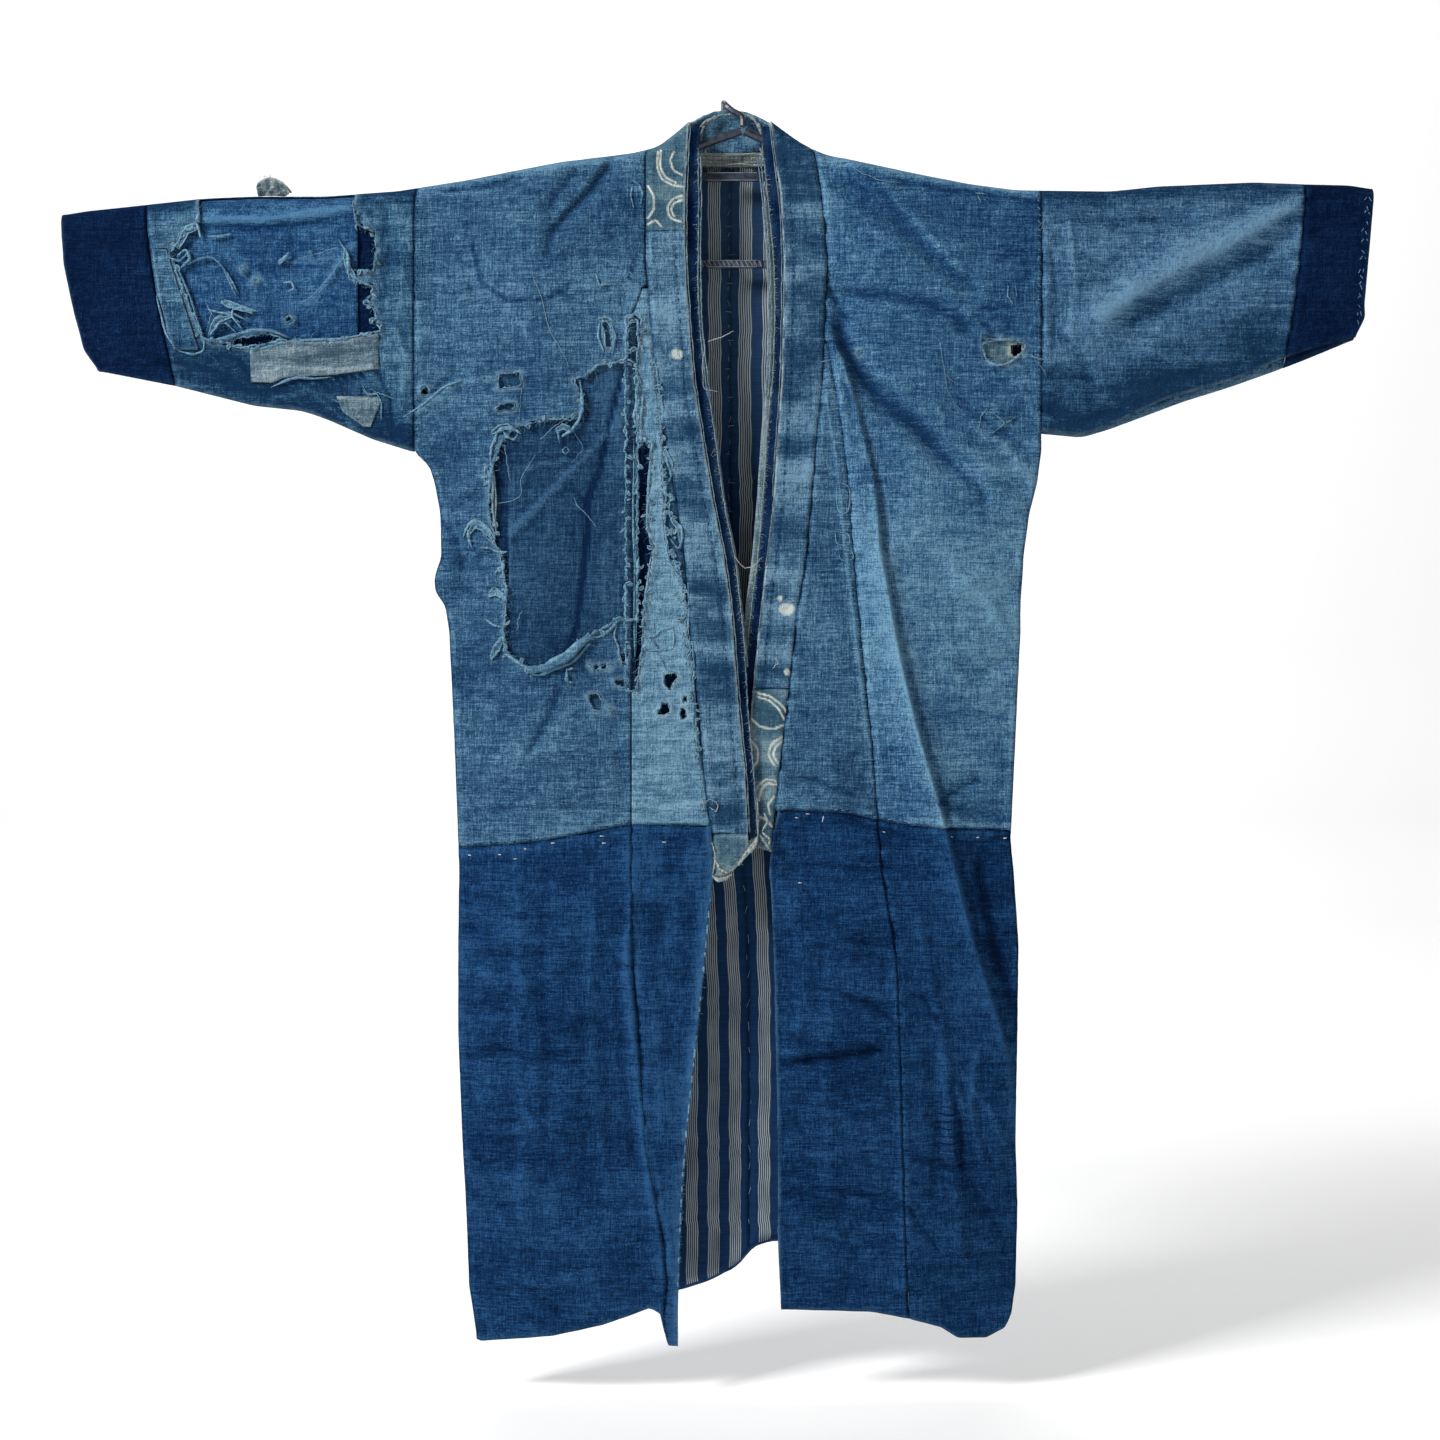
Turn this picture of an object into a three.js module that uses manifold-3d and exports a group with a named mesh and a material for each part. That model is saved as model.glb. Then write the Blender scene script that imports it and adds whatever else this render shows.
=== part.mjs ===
// A long patched robe of faded indigo cloth, open at the front, hung on a dark plastic hanger.
// Millimetres, +Z up, the front faces -Y. The origin is where the hook bears on its rail.
// Right and left are the wearer's, so the right side lies on -X.

import * as THREE from 'three';
import { mergeVertices } from 'three/addons/utils/BufferGeometryUtils.js';
import Module from 'manifold-3d';

const wasm = await Module();
wasm.setup();

// Driving sizes
const CLOTH = 1.6; // worn cotton, two layers quilted together
const UNDER = 1.2; // linings, under layers and patches
const BAND = 3.2; // the folded collar band
const GAP = 0.3; // between pieces that touch
const HANGER_Y = -26; // plane of the hanger, in front of the rail
const MIDDLE = 6; // x of the centre back seam
const BODY_FULL = 21; // how far the body's cloth stands off the hanger's plane
const SLEEVE_FULL = 9.5; // the same in the sleeves
const SEAM_EASE = 48; // distance over which the cloth swells away from a seam
const VAULT = 14; // radius of the fold over the shoulder
const BAND_PROUD = 1.2; // the band stands this far before the body's cloth
const TUCK = 9; // the left front runs this far behind the right one where they cross

// Reads a short table. The first name is the key, each other name becomes a function of the key.
function table(names, rows) {
  const sign = Math.sign(rows[1][0] - rows[0][0]);
  const read = (column) => (key) => {
    let row = 0;
    while (row < rows.length - 2 && (key - rows[row + 1][0]) * sign > 0) row += 1;
    const [from, to] = [rows[row], rows[row + 1]];
    const t = THREE.MathUtils.clamp((key - from[0]) / (to[0] - from[0]), 0, 1);
    return THREE.MathUtils.lerp(from[column], to[column], t);
  };
  return Object.fromEntries(names.split(' ').slice(1).map((name, index) => [name, read(index + 1)]));
}

// Height of the top fold, from cuff to cuff, with the standing collar in the middle
const shoulder = table('x z', [
  [-666, -114], [-642, -110], [-594, -105], [-522, -97], [-474, -95], [-402, -95], [-330, -90],
  [-258, -79], [-162, -61], [-90, -52], [-66, -46], [-42, -27], [-29, -15], [-14, -6], [6, -3],
  [22, -5], [39, -13], [49, -22], [78, -43], [102, -54], [150, -64], [198, -74], [246, -83],
  [294, -89], [390, -90], [438, -85], [486, -83], [534, -81], [582, -83], [630, -84], [654, -88],
]);

// Lower edges of the sleeves. The left sleeve's back layer hangs a little below its front layer.
const underRight = [
  [-630, -271], [-553, -286], [-474, -306], [-426, -311], [-402, -319], [-354, -340], [-312, -353],
];
const underLeft = [
  [320, -332], [361, -337], [388, -327], [444, -300], [514, -280], [567, -257], [613, -243], [638, -237],
];
const sleeveHem = {
  right: table('x z', underRight).z,
  left: table('x z', underLeft).z,
  leftBack: table('x z', [
    [320, -334], [361, -338], [388, -330], [462, -302], [510, -287], [558, -270], [582, -261], [638, -238],
  ]).z,
};

// Side seams of the body below the arms
const sideRows = [
  [-353, -312, 320], [-367, -297, 318], [-383, -292, 316], [-415, -286, 308], [-458, -285, 302],
  [-480, -292, 301], [-494, -291, 300], [-508, -281, 299], [-534, -277, 299], [-640, -272, 294],
  [-743, -268, 289], [-774, -267, 292], [-846, -268, 297], [-935, -268, 296], [-1043, -264, 294],
  [-1114, -260, 296], [-1193, -257, 294], [-1232, -251, 288], [-1248, -249, 284],
];
const side = table('z right left', sideRows);

// Armholes and cuffs
const armhole = table('z right left', [
  [-85, -308, 319], [-109, -311, 319], [-360, -312, 320],
]);
const cuffSeam = table('z right left', [
  [-85, -582, 584], [-106, -581, 582], [-149, -577, 580], [-196, -570, 575], [-254, -559, 567],
  [-290, -552, 560],
]);
const cuffEnd = table('z right left', [
  [-86, -666, 653], [-114, -666, 651], [-165, -663, 647], [-205, -655, 644], [-218, -652, 645],
  [-237, -647, 636], [-251, -644, 632], [-271, -630, 626],
]);

// Collar band: its seam to the body, its folded edge, and the edge of the navy band behind it
const collar = table('z seamRight foldRight navyRight navyLeft foldLeft seamLeft', [
  [-20, -60, -35, -22, 36, 47, 64], [-55, -78, -37, -26, 39, 50, 91], [-100, -78, -39, -25, 44, 57, 98],
  [-165, -78, -39, -26, 50, 60, 103], [-223, -73, -35, -25, 51, 59, 101], [-280, -68, -31, -19, 49, 58, 99],
  [-338, -60, -22, -10, 44, 54, 93], [-400, -48, -12, -2, 40, 50, 87], [-460, -39, 0, 10, 35, 43, 82],
  [-521, -35, 8, 17, 27, 36, 72], [-575, -30, 12, 22, 22, 31, 67], [-616, -25, 15, 24, 18, 27, 62],
  [-677, -20, 21, 30, 14, 23, 55], [-742, -12, 24, 34, 9, 18, 48], [-785, -9, 24, 34, 6, 14, 45],
]);

// Seams of the front overlaps to the body, and the front edges below the collar
const overlap = table('z right left', [
  [-190, -80, 101], [-222, -92, 102], [-246, -92, 103], [-307, -92, 114], [-376, -92, 123],
  [-454, -92, 129], [-540, -92, 137], [-654, -92, 149], [-712, -92, 153], [-779, -92, 159],
  [-859, -91, 173], [-931, -85, 176], [-1045, -78, 179], [-1076, -72, 180], [-1116, -65, 181],
  [-1147, -59, 182], [-1188, -57, 184], [-1218, -60, 185], [-1250, -58, 186],
]);
const edge = table('z right left', [
  [-707, -16, 56], [-742, -12, 48], [-777, -9, 45], [-790, -12, 47], [-854, -18, 50], [-893, -22, 51],
  [-950, -28, 52], [-1035, -37, 54], [-1086, -41, 54], [-1147, -44, 54], [-1211, -46, 57], [-1250, -46, 57],
]);

// Heights by x: the seam between the faded upper cloth and the dark lower cloth, and the hems
const waist = table('x front back', [
  [-268, -752, -752], [-198, -747, -748], [-160, -740, -746], [-91, -727, -742], [-13, -729, -738],
  [57, -713, -735], [120, -716, -734], [182, -728, -734], [211, -731, -735], [289, -734, -735],
]);
const hem = table('x front back', [
  [-260, -1243, -1240], [-245, -1248, -1240], [-172, -1239, -1229], [-121, -1227, -1218],
  [-90, -1216, -1212], [-74, -1210, -1208], [-62, -1216, -1206], [-57, -1247, -1205],
  [-44, -1248, -1203], [-14, -1240, -1194], [16, -1225, -1178], [29, -1215, -1160], [52, -1211, -1153],
  [148, -1214, -1176], [185, -1221, -1188], [218, -1231, -1199], [234, -1242, -1204],
  [264, -1244, -1212], [284, -1234, -1214], [292, -1216, -1214],
]);
const NECK_SEAM = -57; // height of the back neck seam

// The largest folds: a path of [x, z] points, the half width, and the height outwards
const folds = [
  {
    path: [[155, -463], [180, -587], [213, -704], [248, -843], [284, -955], [294, -1041]],
    width: 17, height: 6,
  },
  { path: [[262, -760], [276, -850], [290, -900]], width: 26, height: -5 },
  { path: [[107, -182], [127, -257], [154, -298], [189, -325], [225, -363]], width: 15, height: -5 },
  { path: [[101, -75], [178, -125], [223, -170], [248, -188]], width: 13, height: -4 },
  { path: [[123, -194], [199, -204], [242, -229]], width: 12, height: -3 },
  { path: [[575, -107], [490, -155], [441, -179], [381, -218]], width: 18, height: 5 },
  { path: [[560, -150], [470, -196], [400, -240]], width: 17, height: -3 },
  { path: [[-114, -61], [-171, -128]], width: 14, height: -3 },
  { path: [[-516, -121], [-376, -108]], width: 10, height: 2.5 },
  { path: [[-230, -800], [-170, -905], [-150, -1010]], width: 26, height: 4 },
  { path: [[-120, -860], [-112, -1040]], width: 20, height: -3 },
  { path: [[-72, -900], [-60, -1060], [-52, -1180]], width: 14, height: 3 },
  { path: [[85, -962], [161, -955]], width: 14, height: -3 },
  { path: [[-300, -353], [-262, -341], [-245, -333]], width: 14, height: -3 },
];

function distanceToPath(path, x, z) {
  let nearest = Infinity;
  for (let i = 1; i < path.length; i += 1) {
    const [ax, az] = path[i - 1];
    const [bx, bz] = [path[i][0] - ax, path[i][1] - az];
    const t = THREE.MathUtils.clamp(((x - ax) * bx + (z - az) * bz) / (bx * bx + bz * bz), 0, 1);
    nearest = Math.min(nearest, Math.hypot(x - ax - bx * t, z - az - bz * t));
  }
  return nearest;
}

// The line along which front and back are sewn: under each sleeve and down the side
const seamRight = [...underRight, ...sideRows.slice(1).map(([z, right]) => [right, z])];
const seamLeft = [...underLeft.slice().reverse(), ...sideRows.map(([z, , left]) => [left, z])];

// How far the cloth has swelled: 0 on the sewn line, nearly 1 well away from it
const swell = (x, z) => 1 - Math.exp(-distanceToPath(x < MIDDLE ? seamRight : seamLeft, x, z) / SEAM_EASE);

const relief = (x, z) => swell(x, z) * folds.reduce(
  (sum, fold) => sum + fold.height * Math.exp(-((distanceToPath(fold.path, x, z) / fold.width) ** 2)), 0);

// How round the cloth is at a height: 0 on the shoulder fold, 1 from a fold's radius below it
function vault(x, z, inset = 0) {
  const below = THREE.MathUtils.clamp((shoulder.z(x) - inset - z) / VAULT, 0, 1);
  return Math.sqrt(1 - (1 - below) ** 2);
}

// Distance from the hanger's plane to the cloth's outer face, or to a layer that lies inset under it
function depth(x, z, inset = 0) {
  const sleeve = THREE.MathUtils.smoothstep(Math.abs(x - MIDDLE), 170, 330);
  const full = THREE.MathUtils.lerp(BODY_FULL, SLEEVE_FULL, sleeve);
  return GAP / 2 + Math.max(0, CLOTH + full * swell(x, z) - inset) * vault(x, z, inset);
}

// The left front sinks behind the right one near the lower end of the collar
function tuck(x, z) {
  const across = 1 - THREE.MathUtils.smoothstep(x, 45, 130);
  const down = THREE.MathUtils.smoothstep(-z, 440, 560) * (1 - THREE.MathUtils.smoothstep(-z, 860, 1100));
  return TUCK * across * down;
}

// Faces y(x, z), measured from the hanger's plane, with an inset for layers inside the cloth
const frontRight = (inset = 0) => (x, z) => -depth(x, z, inset) - relief(x, z) * vault(x, z, inset);
const frontLeft = (inset = 0) => (x, z) => frontRight(inset)(x, z) + tuck(x, z);
const back = (inset = 0) => (x, z) => depth(x, z, inset);
const proud = (face, by) => (x, z) => face(x, z) - by * vault(x, z);

// The inner point of a wall whose outer face is any surface(u, v), u to the viewer's right and v down
function underSurface(surface, thick, facing) {
  const step = 1e-3;
  return (u, v) => {
    const alongU = surface(Math.min(1, u + step), v).sub(surface(Math.max(0, u - step), v));
    const alongV = surface(u, Math.min(1, v + step)).sub(surface(u, Math.max(0, v - step)));
    return surface(u, v).add(alongU.cross(alongV).normalize().multiplyScalar(thick * facing));
  };
}

// A closed wall between a grid of points on outer(u, v) and the same grid on inner(u, v).
// Facing is 1 where the outer face looks to the front and -1 where it looks to the back.
function wall(outer, inner, across, down, facing = 1) {
  const columns = across.length;
  const grid = (point) => down.flatMap((v) => across.flatMap((u) => point(u, v).toArray()));
  const positions = grid(outer);
  const count = positions.length / 3;
  const triangles = [];
  const add = (a, b, c) => triangles.push(...(facing > 0 ? [a, b, c] : [a, c, b]));
  for (let row = 0; row < down.length - 1; row += 1) {
    for (let column = 0; column < columns - 1; column += 1) {
      const a = row * columns + column;
      const [b, c, d] = [a + 1, a + columns + 1, a + columns];
      add(a, c, b);
      add(a, d, c);
      add(a + count, b + count, c + count);
      add(a + count, c + count, d + count);
    }
  }
  const last = (down.length - 1) * columns;
  const rim = [
    ...across.map((_, i) => i),
    ...down.map((_, i) => i * columns + columns - 1).slice(1),
    ...across.map((_, i) => last + columns - 1 - i).slice(1),
    ...down.map((_, i) => last - i * columns).slice(1, -1),
  ];
  rim.forEach((from, i) => {
    const to = rim[(i + 1) % rim.length];
    add(from, to, to + count);
    add(from, to + count, from + count);
  });
  const geometry = new THREE.BufferGeometry();
  geometry.setAttribute('position', new THREE.Float32BufferAttribute([...positions, ...grid(inner)], 3));
  geometry.setIndex(triangles);
  return geometry;
}

const even = (count) => Array.from({ length: count + 1 }, (_, i) => i / count);

// A sewn piece: the part of a face between a left and a right edge, x(z), and a top and a bottom, z(x).
// Each edge keeps half a gap to its seam. `vaulted` puts close rows on the fold over the shoulder.
function piece({ left, right, top, bottom, face, thick = CLOTH, facing = 1, across, down, vaulted = false }) {
  const flat = (u, v) => {
    let z = -400;
    let x = 0;
    for (let pass = 0; pass < 14; pass += 1) {
      x = THREE.MathUtils.lerp(left(z) + GAP / 2, right(z) - GAP / 2, u);
      z = THREE.MathUtils.lerp(top(x) - (vaulted ? 0 : GAP / 2), bottom(x) + GAP / 2, v);
    }
    return [x, z];
  };
  const outer = (u, v) => {
    const [x, z] = flat(u, v);
    return new THREE.Vector3(x, face(x, z), z);
  };
  const inner = (u, v) => {
    const [x, z] = flat(u, v);
    const reach = 0.5;
    const slopeX = (face(x + reach, z) - face(x - reach, z)) / (2 * reach);
    const slopeZ = (face(x, z + reach) - face(x, z - reach)) / (2 * reach);
    const inward = new THREE.Vector3(-slopeX, 1, -slopeZ).setLength(thick * facing);
    const point = outer(u, v).add(inward);
    return point.setY(facing * Math.min(facing * point.y, -GAP / 2));
  };
  const height = flat(0.5, 0)[1] - flat(0.5, 1)[1];
  const rows = vaulted
    ? [...[0, 1, 4, 8, VAULT].map((below) => below / height),
      ...even(down).slice(1).map((t) => THREE.MathUtils.lerp(VAULT / height, 1, t))]
    : even(down);
  return wall(outer, inner, even(across), rows, facing);
}

// A cutter for a tear or hole with the outline [x, z], right through one layer of cloth
function tear(outline) {
  const reach = 60;
  const shape = new THREE.Shape(outline.map(([x, z]) => new THREE.Vector2(x, z)));
  const geometry = new THREE.ExtrudeGeometry(shape, { depth: 2 * reach, bevelEnabled: false, steps: 1 });
  return geometry.rotateX(Math.PI / 2).translate(0, reach, 0);
}

const roundTear = (x, z, radius, sides = 7) => tear(Array.from({ length: sides }, (_, i) => {
  const angle = (2 * Math.PI * i) / sides;
  return [x + radius * Math.cos(angle), z + radius * Math.sin(angle)];
}));

function solid(geometry) {
  const bare = geometry.clone();
  bare.deleteAttribute('normal');
  bare.deleteAttribute('uv');
  const merged = mergeVertices(bare, 1e-4);
  return new wasm.Manifold(new wasm.Mesh({
    numProp: 3,
    vertProperties: new Float32Array(merged.attributes.position.array),
    triVerts: new Uint32Array(merged.index.array),
  }));
}

function cut(geometry, cutters) {
  const rest = cutters.reduce((body, cutter) => body.subtract(solid(cutter)), solid(geometry));
  const mesh = rest.getMesh();
  const result = new THREE.BufferGeometry();
  result.setAttribute('position', new THREE.Float32BufferAttribute(mesh.vertProperties, 3));
  result.setIndex(Array.from(mesh.triVerts));
  return result;
}

const robe = new THREE.Group();
robe.position.y = HANGER_Y;

const finish = (color, roughness = 0.92) => (
  new THREE.MeshStandardMaterial({ color, roughness, metalness: 0 })
);
const finishes = {
  faded: finish(0x4a7396),
  pale: finish(0x5d8db0),
  overlap: finish(0x6f9cba),
  indigo: finish(0x1b3f6e),
  navy: finish(0x0c2348),
  middle: finish(0x2c4f74),
  khaki: finish(0x7d8c86),
  beige: finish(0x7f8f92),
  stripe: finish(0x4c6478),
  plastic: finish(0x23272e, 0.45),
};

function place(name, geometry, material) {
  const mesh = new THREE.Mesh(geometry, material);
  mesh.name = name;
  robe.add(mesh);
}

// Tears, as outlines of [x, z] points

// The great tear of the right front, open to the overlap's seam, and the tear along that seam
const frontTear = [
  [-151, -282], [-140, -281], [-123, -266], [-111, -267], [-97, -261], [-95, -222], [-86, -222], [-86, -524],
  [-105, -521], [-116, -529], [-134, -539], [-145, -545], [-154, -557], [-179, -569], [-198, -571],
  [-217, -555], [-220, -534], [-218, -498], [-221, -462], [-229, -445], [-236, -413], [-235, -388],
  [-228, -357], [-221, -342], [-208, -330], [-179, -323], [-157, -323], [-142, -321], [-141, -311],
  [-145, -294],
];
const overlapTear = [
  [-98, -220], [-87, -219], [-83, -224], [-83, -240], [-86, -255], [-87, -270], [-89, -288], [-86, -299],
  [-90, -321], [-84, -337], [-86, -344], [-72, -345], [-72, -364], [-74, -388], [-77, -413], [-77, -434],
  [-70, -451], [-74, -476], [-78, -498], [-80, -519], [-82, -553], [-85, -582], [-88, -594], [-98, -594],
];
const frontHoles = [
  tear([[-226, -277], [-204, -275], [-203, -289], [-224, -291]]),
  tear([[-228, -310], [-218, -305], [-209, -306], [-211, -313], [-227, -314]]),
  tear([[-121, -224], [-114, -228], [-112, -252], [-118, -250]]),
  tear([[-135, -567], [-111, -568], [-112, -573], [-133, -572]]),
  tear([[-137, -599], [-127, -596], [-121, -604], [-123, -614], [-129, -614]]),
  tear([[-111, -584], [-97, -582], [-98, -590], [-108, -589]]),
  tear([[-104, -557], [-96, -556], [-97, -568], [-103, -566]]),
  roundTear(-300, -293, 4),
  roundTear(-113, -613, 2.6, 5),
];
const overlapHoles = [
  tear([[-60, -577], [-51, -576], [-45, -580], [-50, -586], [-55, -594], [-59, -588]]),
  tear([[-67, -618], [-62, -606], [-56, -605], [-54, -613], [-59, -619]]),
  tear([[-45, -617], [-43, -611], [-38, -611], [-37, -620], [-41, -623]]),
  roundTear(-39, -602, 2.6, 5),
];
// The torn right sleeve, open up to its top fold
const sleeveTear = [
  [-526, -70], [-528, -104], [-526, -122], [-539, -133], [-556, -154], [-545, -184], [-534, -213],
  [-523, -240], [-499, -245], [-475, -251], [-443, -240], [-416, -243], [-384, -241], [-363, -236],
  [-344, -233], [-349, -224], [-351, -211], [-362, -204], [-353, -197], [-352, -189], [-363, -184],
  [-376, -181], [-376, -172], [-352, -173], [-349, -160], [-349, -146], [-352, -132], [-368, -125],
  [-372, -107], [-368, -70],
];
const sleeveUnderHoles = [
  tear([[-499, -243], [-480, -238], [-462, -235], [-446, -238], [-444, -243], [-470, -247], [-490, -248]]),
  roundTear(-484, -170, 2.6, 5),
  roundTear(-470, -181, 3.2, 6),
  roundTear(-438, -220, 3.4, 6),
];
const armholeTear = [
  [259, -245], [268, -241], [290, -242], [302, -246], [301, -256], [284, -267], [262, -262],
];

// Upper body
const level = (z) => () => z;
const crest = (x) => shoulder.z(x);
const neckTop = (x) => Math.min(shoulder.z(x), NECK_SEAM);
const frontTopRight = (x) => (x > -79 ? -56 : shoulder.z(x));
const frontTopLeft = (x) => (x < 92 ? -54 : shoulder.z(x));

// The body's outer edge above the waist is the armhole, then the side seam
const outerRight = (z) => (z > -353 ? armhole.right(z) : side.right(z));
const outerLeft = (z) => (z > -340 ? armhole.left(z) : side.left(z));
const innerRight = (z) => (z > -190 ? collar.seamRight(z) : overlap.right(z));
const innerLeft = (z) => (z > -246 ? collar.seamLeft(z) : overlap.left(z));
const centre = () => MIDDLE;

place('front_upper_right', cut(piece({
  left: outerRight, right: innerRight, top: frontTopRight, bottom: waist.front, face: frontRight(),
  across: 7, down: 18, vaulted: true,
}), [tear(frontTear), ...frontHoles]), finishes.faded);
place('front_upper_left', cut(piece({
  left: innerLeft, right: outerLeft, top: frontTopLeft, bottom: waist.front, face: frontLeft(),
  across: 7, down: 18, vaulted: true,
}), [tear(armholeTear), roundTear(137, -255, 3, 5)]), finishes.faded);
place('back_upper_right', piece({
  left: outerRight, right: centre, top: neckTop, bottom: waist.back, face: back(), facing: -1,
  across: 7, down: 12, vaulted: true,
}), finishes.faded);
place('back_upper_left', piece({
  left: centre, right: outerLeft, top: neckTop, bottom: waist.back, face: back(), facing: -1,
  across: 7, down: 12, vaulted: true,
}), finishes.faded);

// Lower body
place('front_lower_right', piece({
  left: side.right, right: overlap.right, top: waist.front, bottom: hem.front, face: frontRight(),
  across: 7, down: 14,
}), finishes.indigo);
place('front_lower_left', piece({
  left: overlap.left, right: side.left, top: waist.front, bottom: hem.front, face: frontLeft(),
  across: 7, down: 14,
}), finishes.indigo);
place('back_lower_right', piece({
  left: side.right, right: centre, top: waist.back, bottom: hem.back, face: back(), facing: -1,
  across: 6, down: 8,
}), finishes.indigo);
place('back_lower_left', piece({
  left: centre, right: side.left, top: waist.back, bottom: hem.back, face: back(), facing: -1,
  across: 7, down: 8,
}), finishes.indigo);

// Front overlaps between the body and the collar
const OVERLAP_TOP = { right: -205, left: -262 };
place('overlap_upper_right', cut(piece({
  left: overlap.right, right: collar.seamRight, top: level(OVERLAP_TOP.right), bottom: waist.front,
  face: frontRight(), across: 3, down: 15,
}), [tear(overlapTear), ...overlapHoles]), finishes.overlap);
place('overlap_upper_left', piece({
  left: collar.seamLeft, right: overlap.left, top: level(OVERLAP_TOP.left), bottom: waist.front,
  face: frontLeft(), across: 3, down: 14,
}), finishes.faded);
place('overlap_lower_right', piece({
  left: (z) => overlap.right(z) + GAP, right: edge.right, top: waist.front, bottom: hem.front,
  face: frontRight(), across: 3, down: 18,
}), finishes.indigo);
place('overlap_lower_left', piece({
  left: edge.left, right: overlap.left, top: (x) => waist.front(x) - 2 * GAP, bottom: hem.front,
  face: frontLeft(), across: 4, down: 13,
}), finishes.indigo);

// Sleeves and cuffs
const sleeves = {
  right: {
    body: { left: cuffSeam.right, right: armhole.right },
    cuff: { left: cuffEnd.right, right: cuffSeam.right },
    front: sleeveHem.right, back: sleeveHem.right, face: frontRight(), cutters: [tear(sleeveTear)],
  },
  left: {
    body: { left: armhole.left, right: cuffSeam.left }, cuff: { left: cuffSeam.left, right: cuffEnd.left },
    front: sleeveHem.left, back: sleeveHem.leftBack, face: frontLeft(), cutters: [],
  },
};
for (const [name, sleeve] of Object.entries(sleeves)) {
  place(`sleeve_${name}_front`, cut(piece({
    ...sleeve.body, top: crest, bottom: sleeve.front, face: sleeve.face, across: 8, down: 7, vaulted: true,
  }), sleeve.cutters), finishes.pale);
  place(`sleeve_${name}_back`, piece({
    ...sleeve.body, top: crest, bottom: sleeve.back, face: back(), facing: -1,
    across: 6, down: 5, vaulted: true,
  }), finishes.pale);
  place(`cuff_${name}_front`, piece({
    ...sleeve.cuff, top: crest, bottom: sleeve.front, face: sleeve.face, across: 3, down: 7, vaulted: true,
  }), finishes.navy);
  place(`cuff_${name}_back`, piece({
    ...sleeve.cuff, top: crest, bottom: sleeve.back, face: back(), facing: -1,
    across: 3, down: 5, vaulted: true,
  }), finishes.navy);
}

// Collar band, pieced from lengths
const RIGHT_DYED = -134; // lower end of the resist-dyed length on the right
const RIGHT_END = -736; // upper end of the khaki piece at the right band's foot
const LEFT_DYED = -591; // upper end of the resist-dyed length on the left
const BAND_SEAM = 0.6; // the thick band keeps this much more clear of the body's cloth
const bandRight = {
  left: (z) => collar.seamRight(z) + BAND_SEAM, right: collar.foldRight,
  face: proud(frontRight(), BAND_PROUD), thick: BAND,
};
const bandLeft = {
  left: collar.foldLeft, right: (z) => collar.seamLeft(z) - BAND_SEAM,
  face: proud(frontLeft(), BAND_PROUD), thick: BAND,
};
const footRight = table('x z', [[-12, -781], [4, -777], [14, -769], [24, -750]]);
const footLeft = table('x z', [[10, -758], [30, -750], [46, -754]]);

place('collar_right_dyed', piece({
  ...bandRight, top: crest, bottom: level(RIGHT_DYED), across: 3, down: 3, vaulted: true,
}), finishes.khaki);
place('collar_right', piece({
  ...bandRight, top: level(RIGHT_DYED), bottom: level(RIGHT_END), across: 2, down: 16,
}), finishes.faded);
place('collar_right_end', piece({
  ...bandRight, top: level(RIGHT_END), bottom: footRight.z, across: 3, down: 2,
}), finishes.khaki);
place('collar_left', piece({
  ...bandLeft, top: crest, bottom: level(LEFT_DYED), across: 3, down: 13, vaulted: true,
}), finishes.faded);
place('collar_left_dyed', piece({
  ...bandLeft, top: level(LEFT_DYED), bottom: footLeft.z, across: 2, down: 5,
}), finishes.khaki);

// The band round the back of the neck, ruled between its seam to the back and its folded upper edge
const NECK = {
  seam: { centre: 7, reach: 84, height: -53, dip: 4 },
  fold: { centre: 7.5, reach: 42, back: 15.8 },
};
function neckPoint(u, v) {
  const angle = Math.PI * (1 - u);
  const seamX = NECK.seam.centre + NECK.seam.reach * Math.cos(angle);
  const seamZ = NECK.seam.height - NECK.seam.dip * Math.sin(angle) + GAP;
  const seam = new THREE.Vector3(seamX, back()(seamX, seamZ), seamZ);
  const foldX = NECK.fold.centre + NECK.fold.reach * Math.cos(angle);
  const fold = new THREE.Vector3(foldX, GAP / 2 + NECK.fold.back * Math.sin(angle), shoulder.z(foldX));
  return fold.lerp(seam, v);
}
const neckUnder = underSurface(neckPoint, BAND, -1);
place('collar_back', wall(neckPoint, neckUnder, even(16), even(3), -1), finishes.faded);

// Beige strip that covers the neck seam inside the back
place('neck_strip', piece({
  left: level(-40), right: level(54), top: level(-47), bottom: level(-61),
  face: (x) => 17.9 - 0.0025 * (x - MIDDLE) ** 2, facing: -1, thick: 1, across: 8, down: 1,
}), finishes.beige);

// Navy bands behind the collar's folded edges, and the striped edges of the linings behind them
const NAVY_INSET = BAND - BAND_PROUD + GAP;
const EDGE_INSET = NAVY_INSET + UNDER + 2 * GAP;
const behind = (face, by) => (x, z) => face(x, z) + by;
place('collar_inner_right', piece({
  left: (z) => collar.foldRight(z) - 9, right: collar.navyRight, top: level(-47), bottom: level(-743),
  face: behind(frontRight(), NAVY_INSET), thick: UNDER, across: 2, down: 18,
}), finishes.navy);
place('collar_inner_left', piece({
  left: collar.navyLeft, right: (z) => collar.foldLeft(z) + 9, top: level(-44), bottom: level(-743),
  face: behind(frontLeft(), NAVY_INSET), thick: UNDER, across: 2, down: 18,
}), finishes.navy);
place('lining_edge_right', piece({
  left: (z) => collar.navyRight(z) - 8, right: (z) => collar.navyRight(z) + 3,
  top: level(-180), bottom: level(-570),
  face: behind(frontRight(), EDGE_INSET), thick: UNDER, across: 1, down: 12,
}), finishes.stripe);
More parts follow.
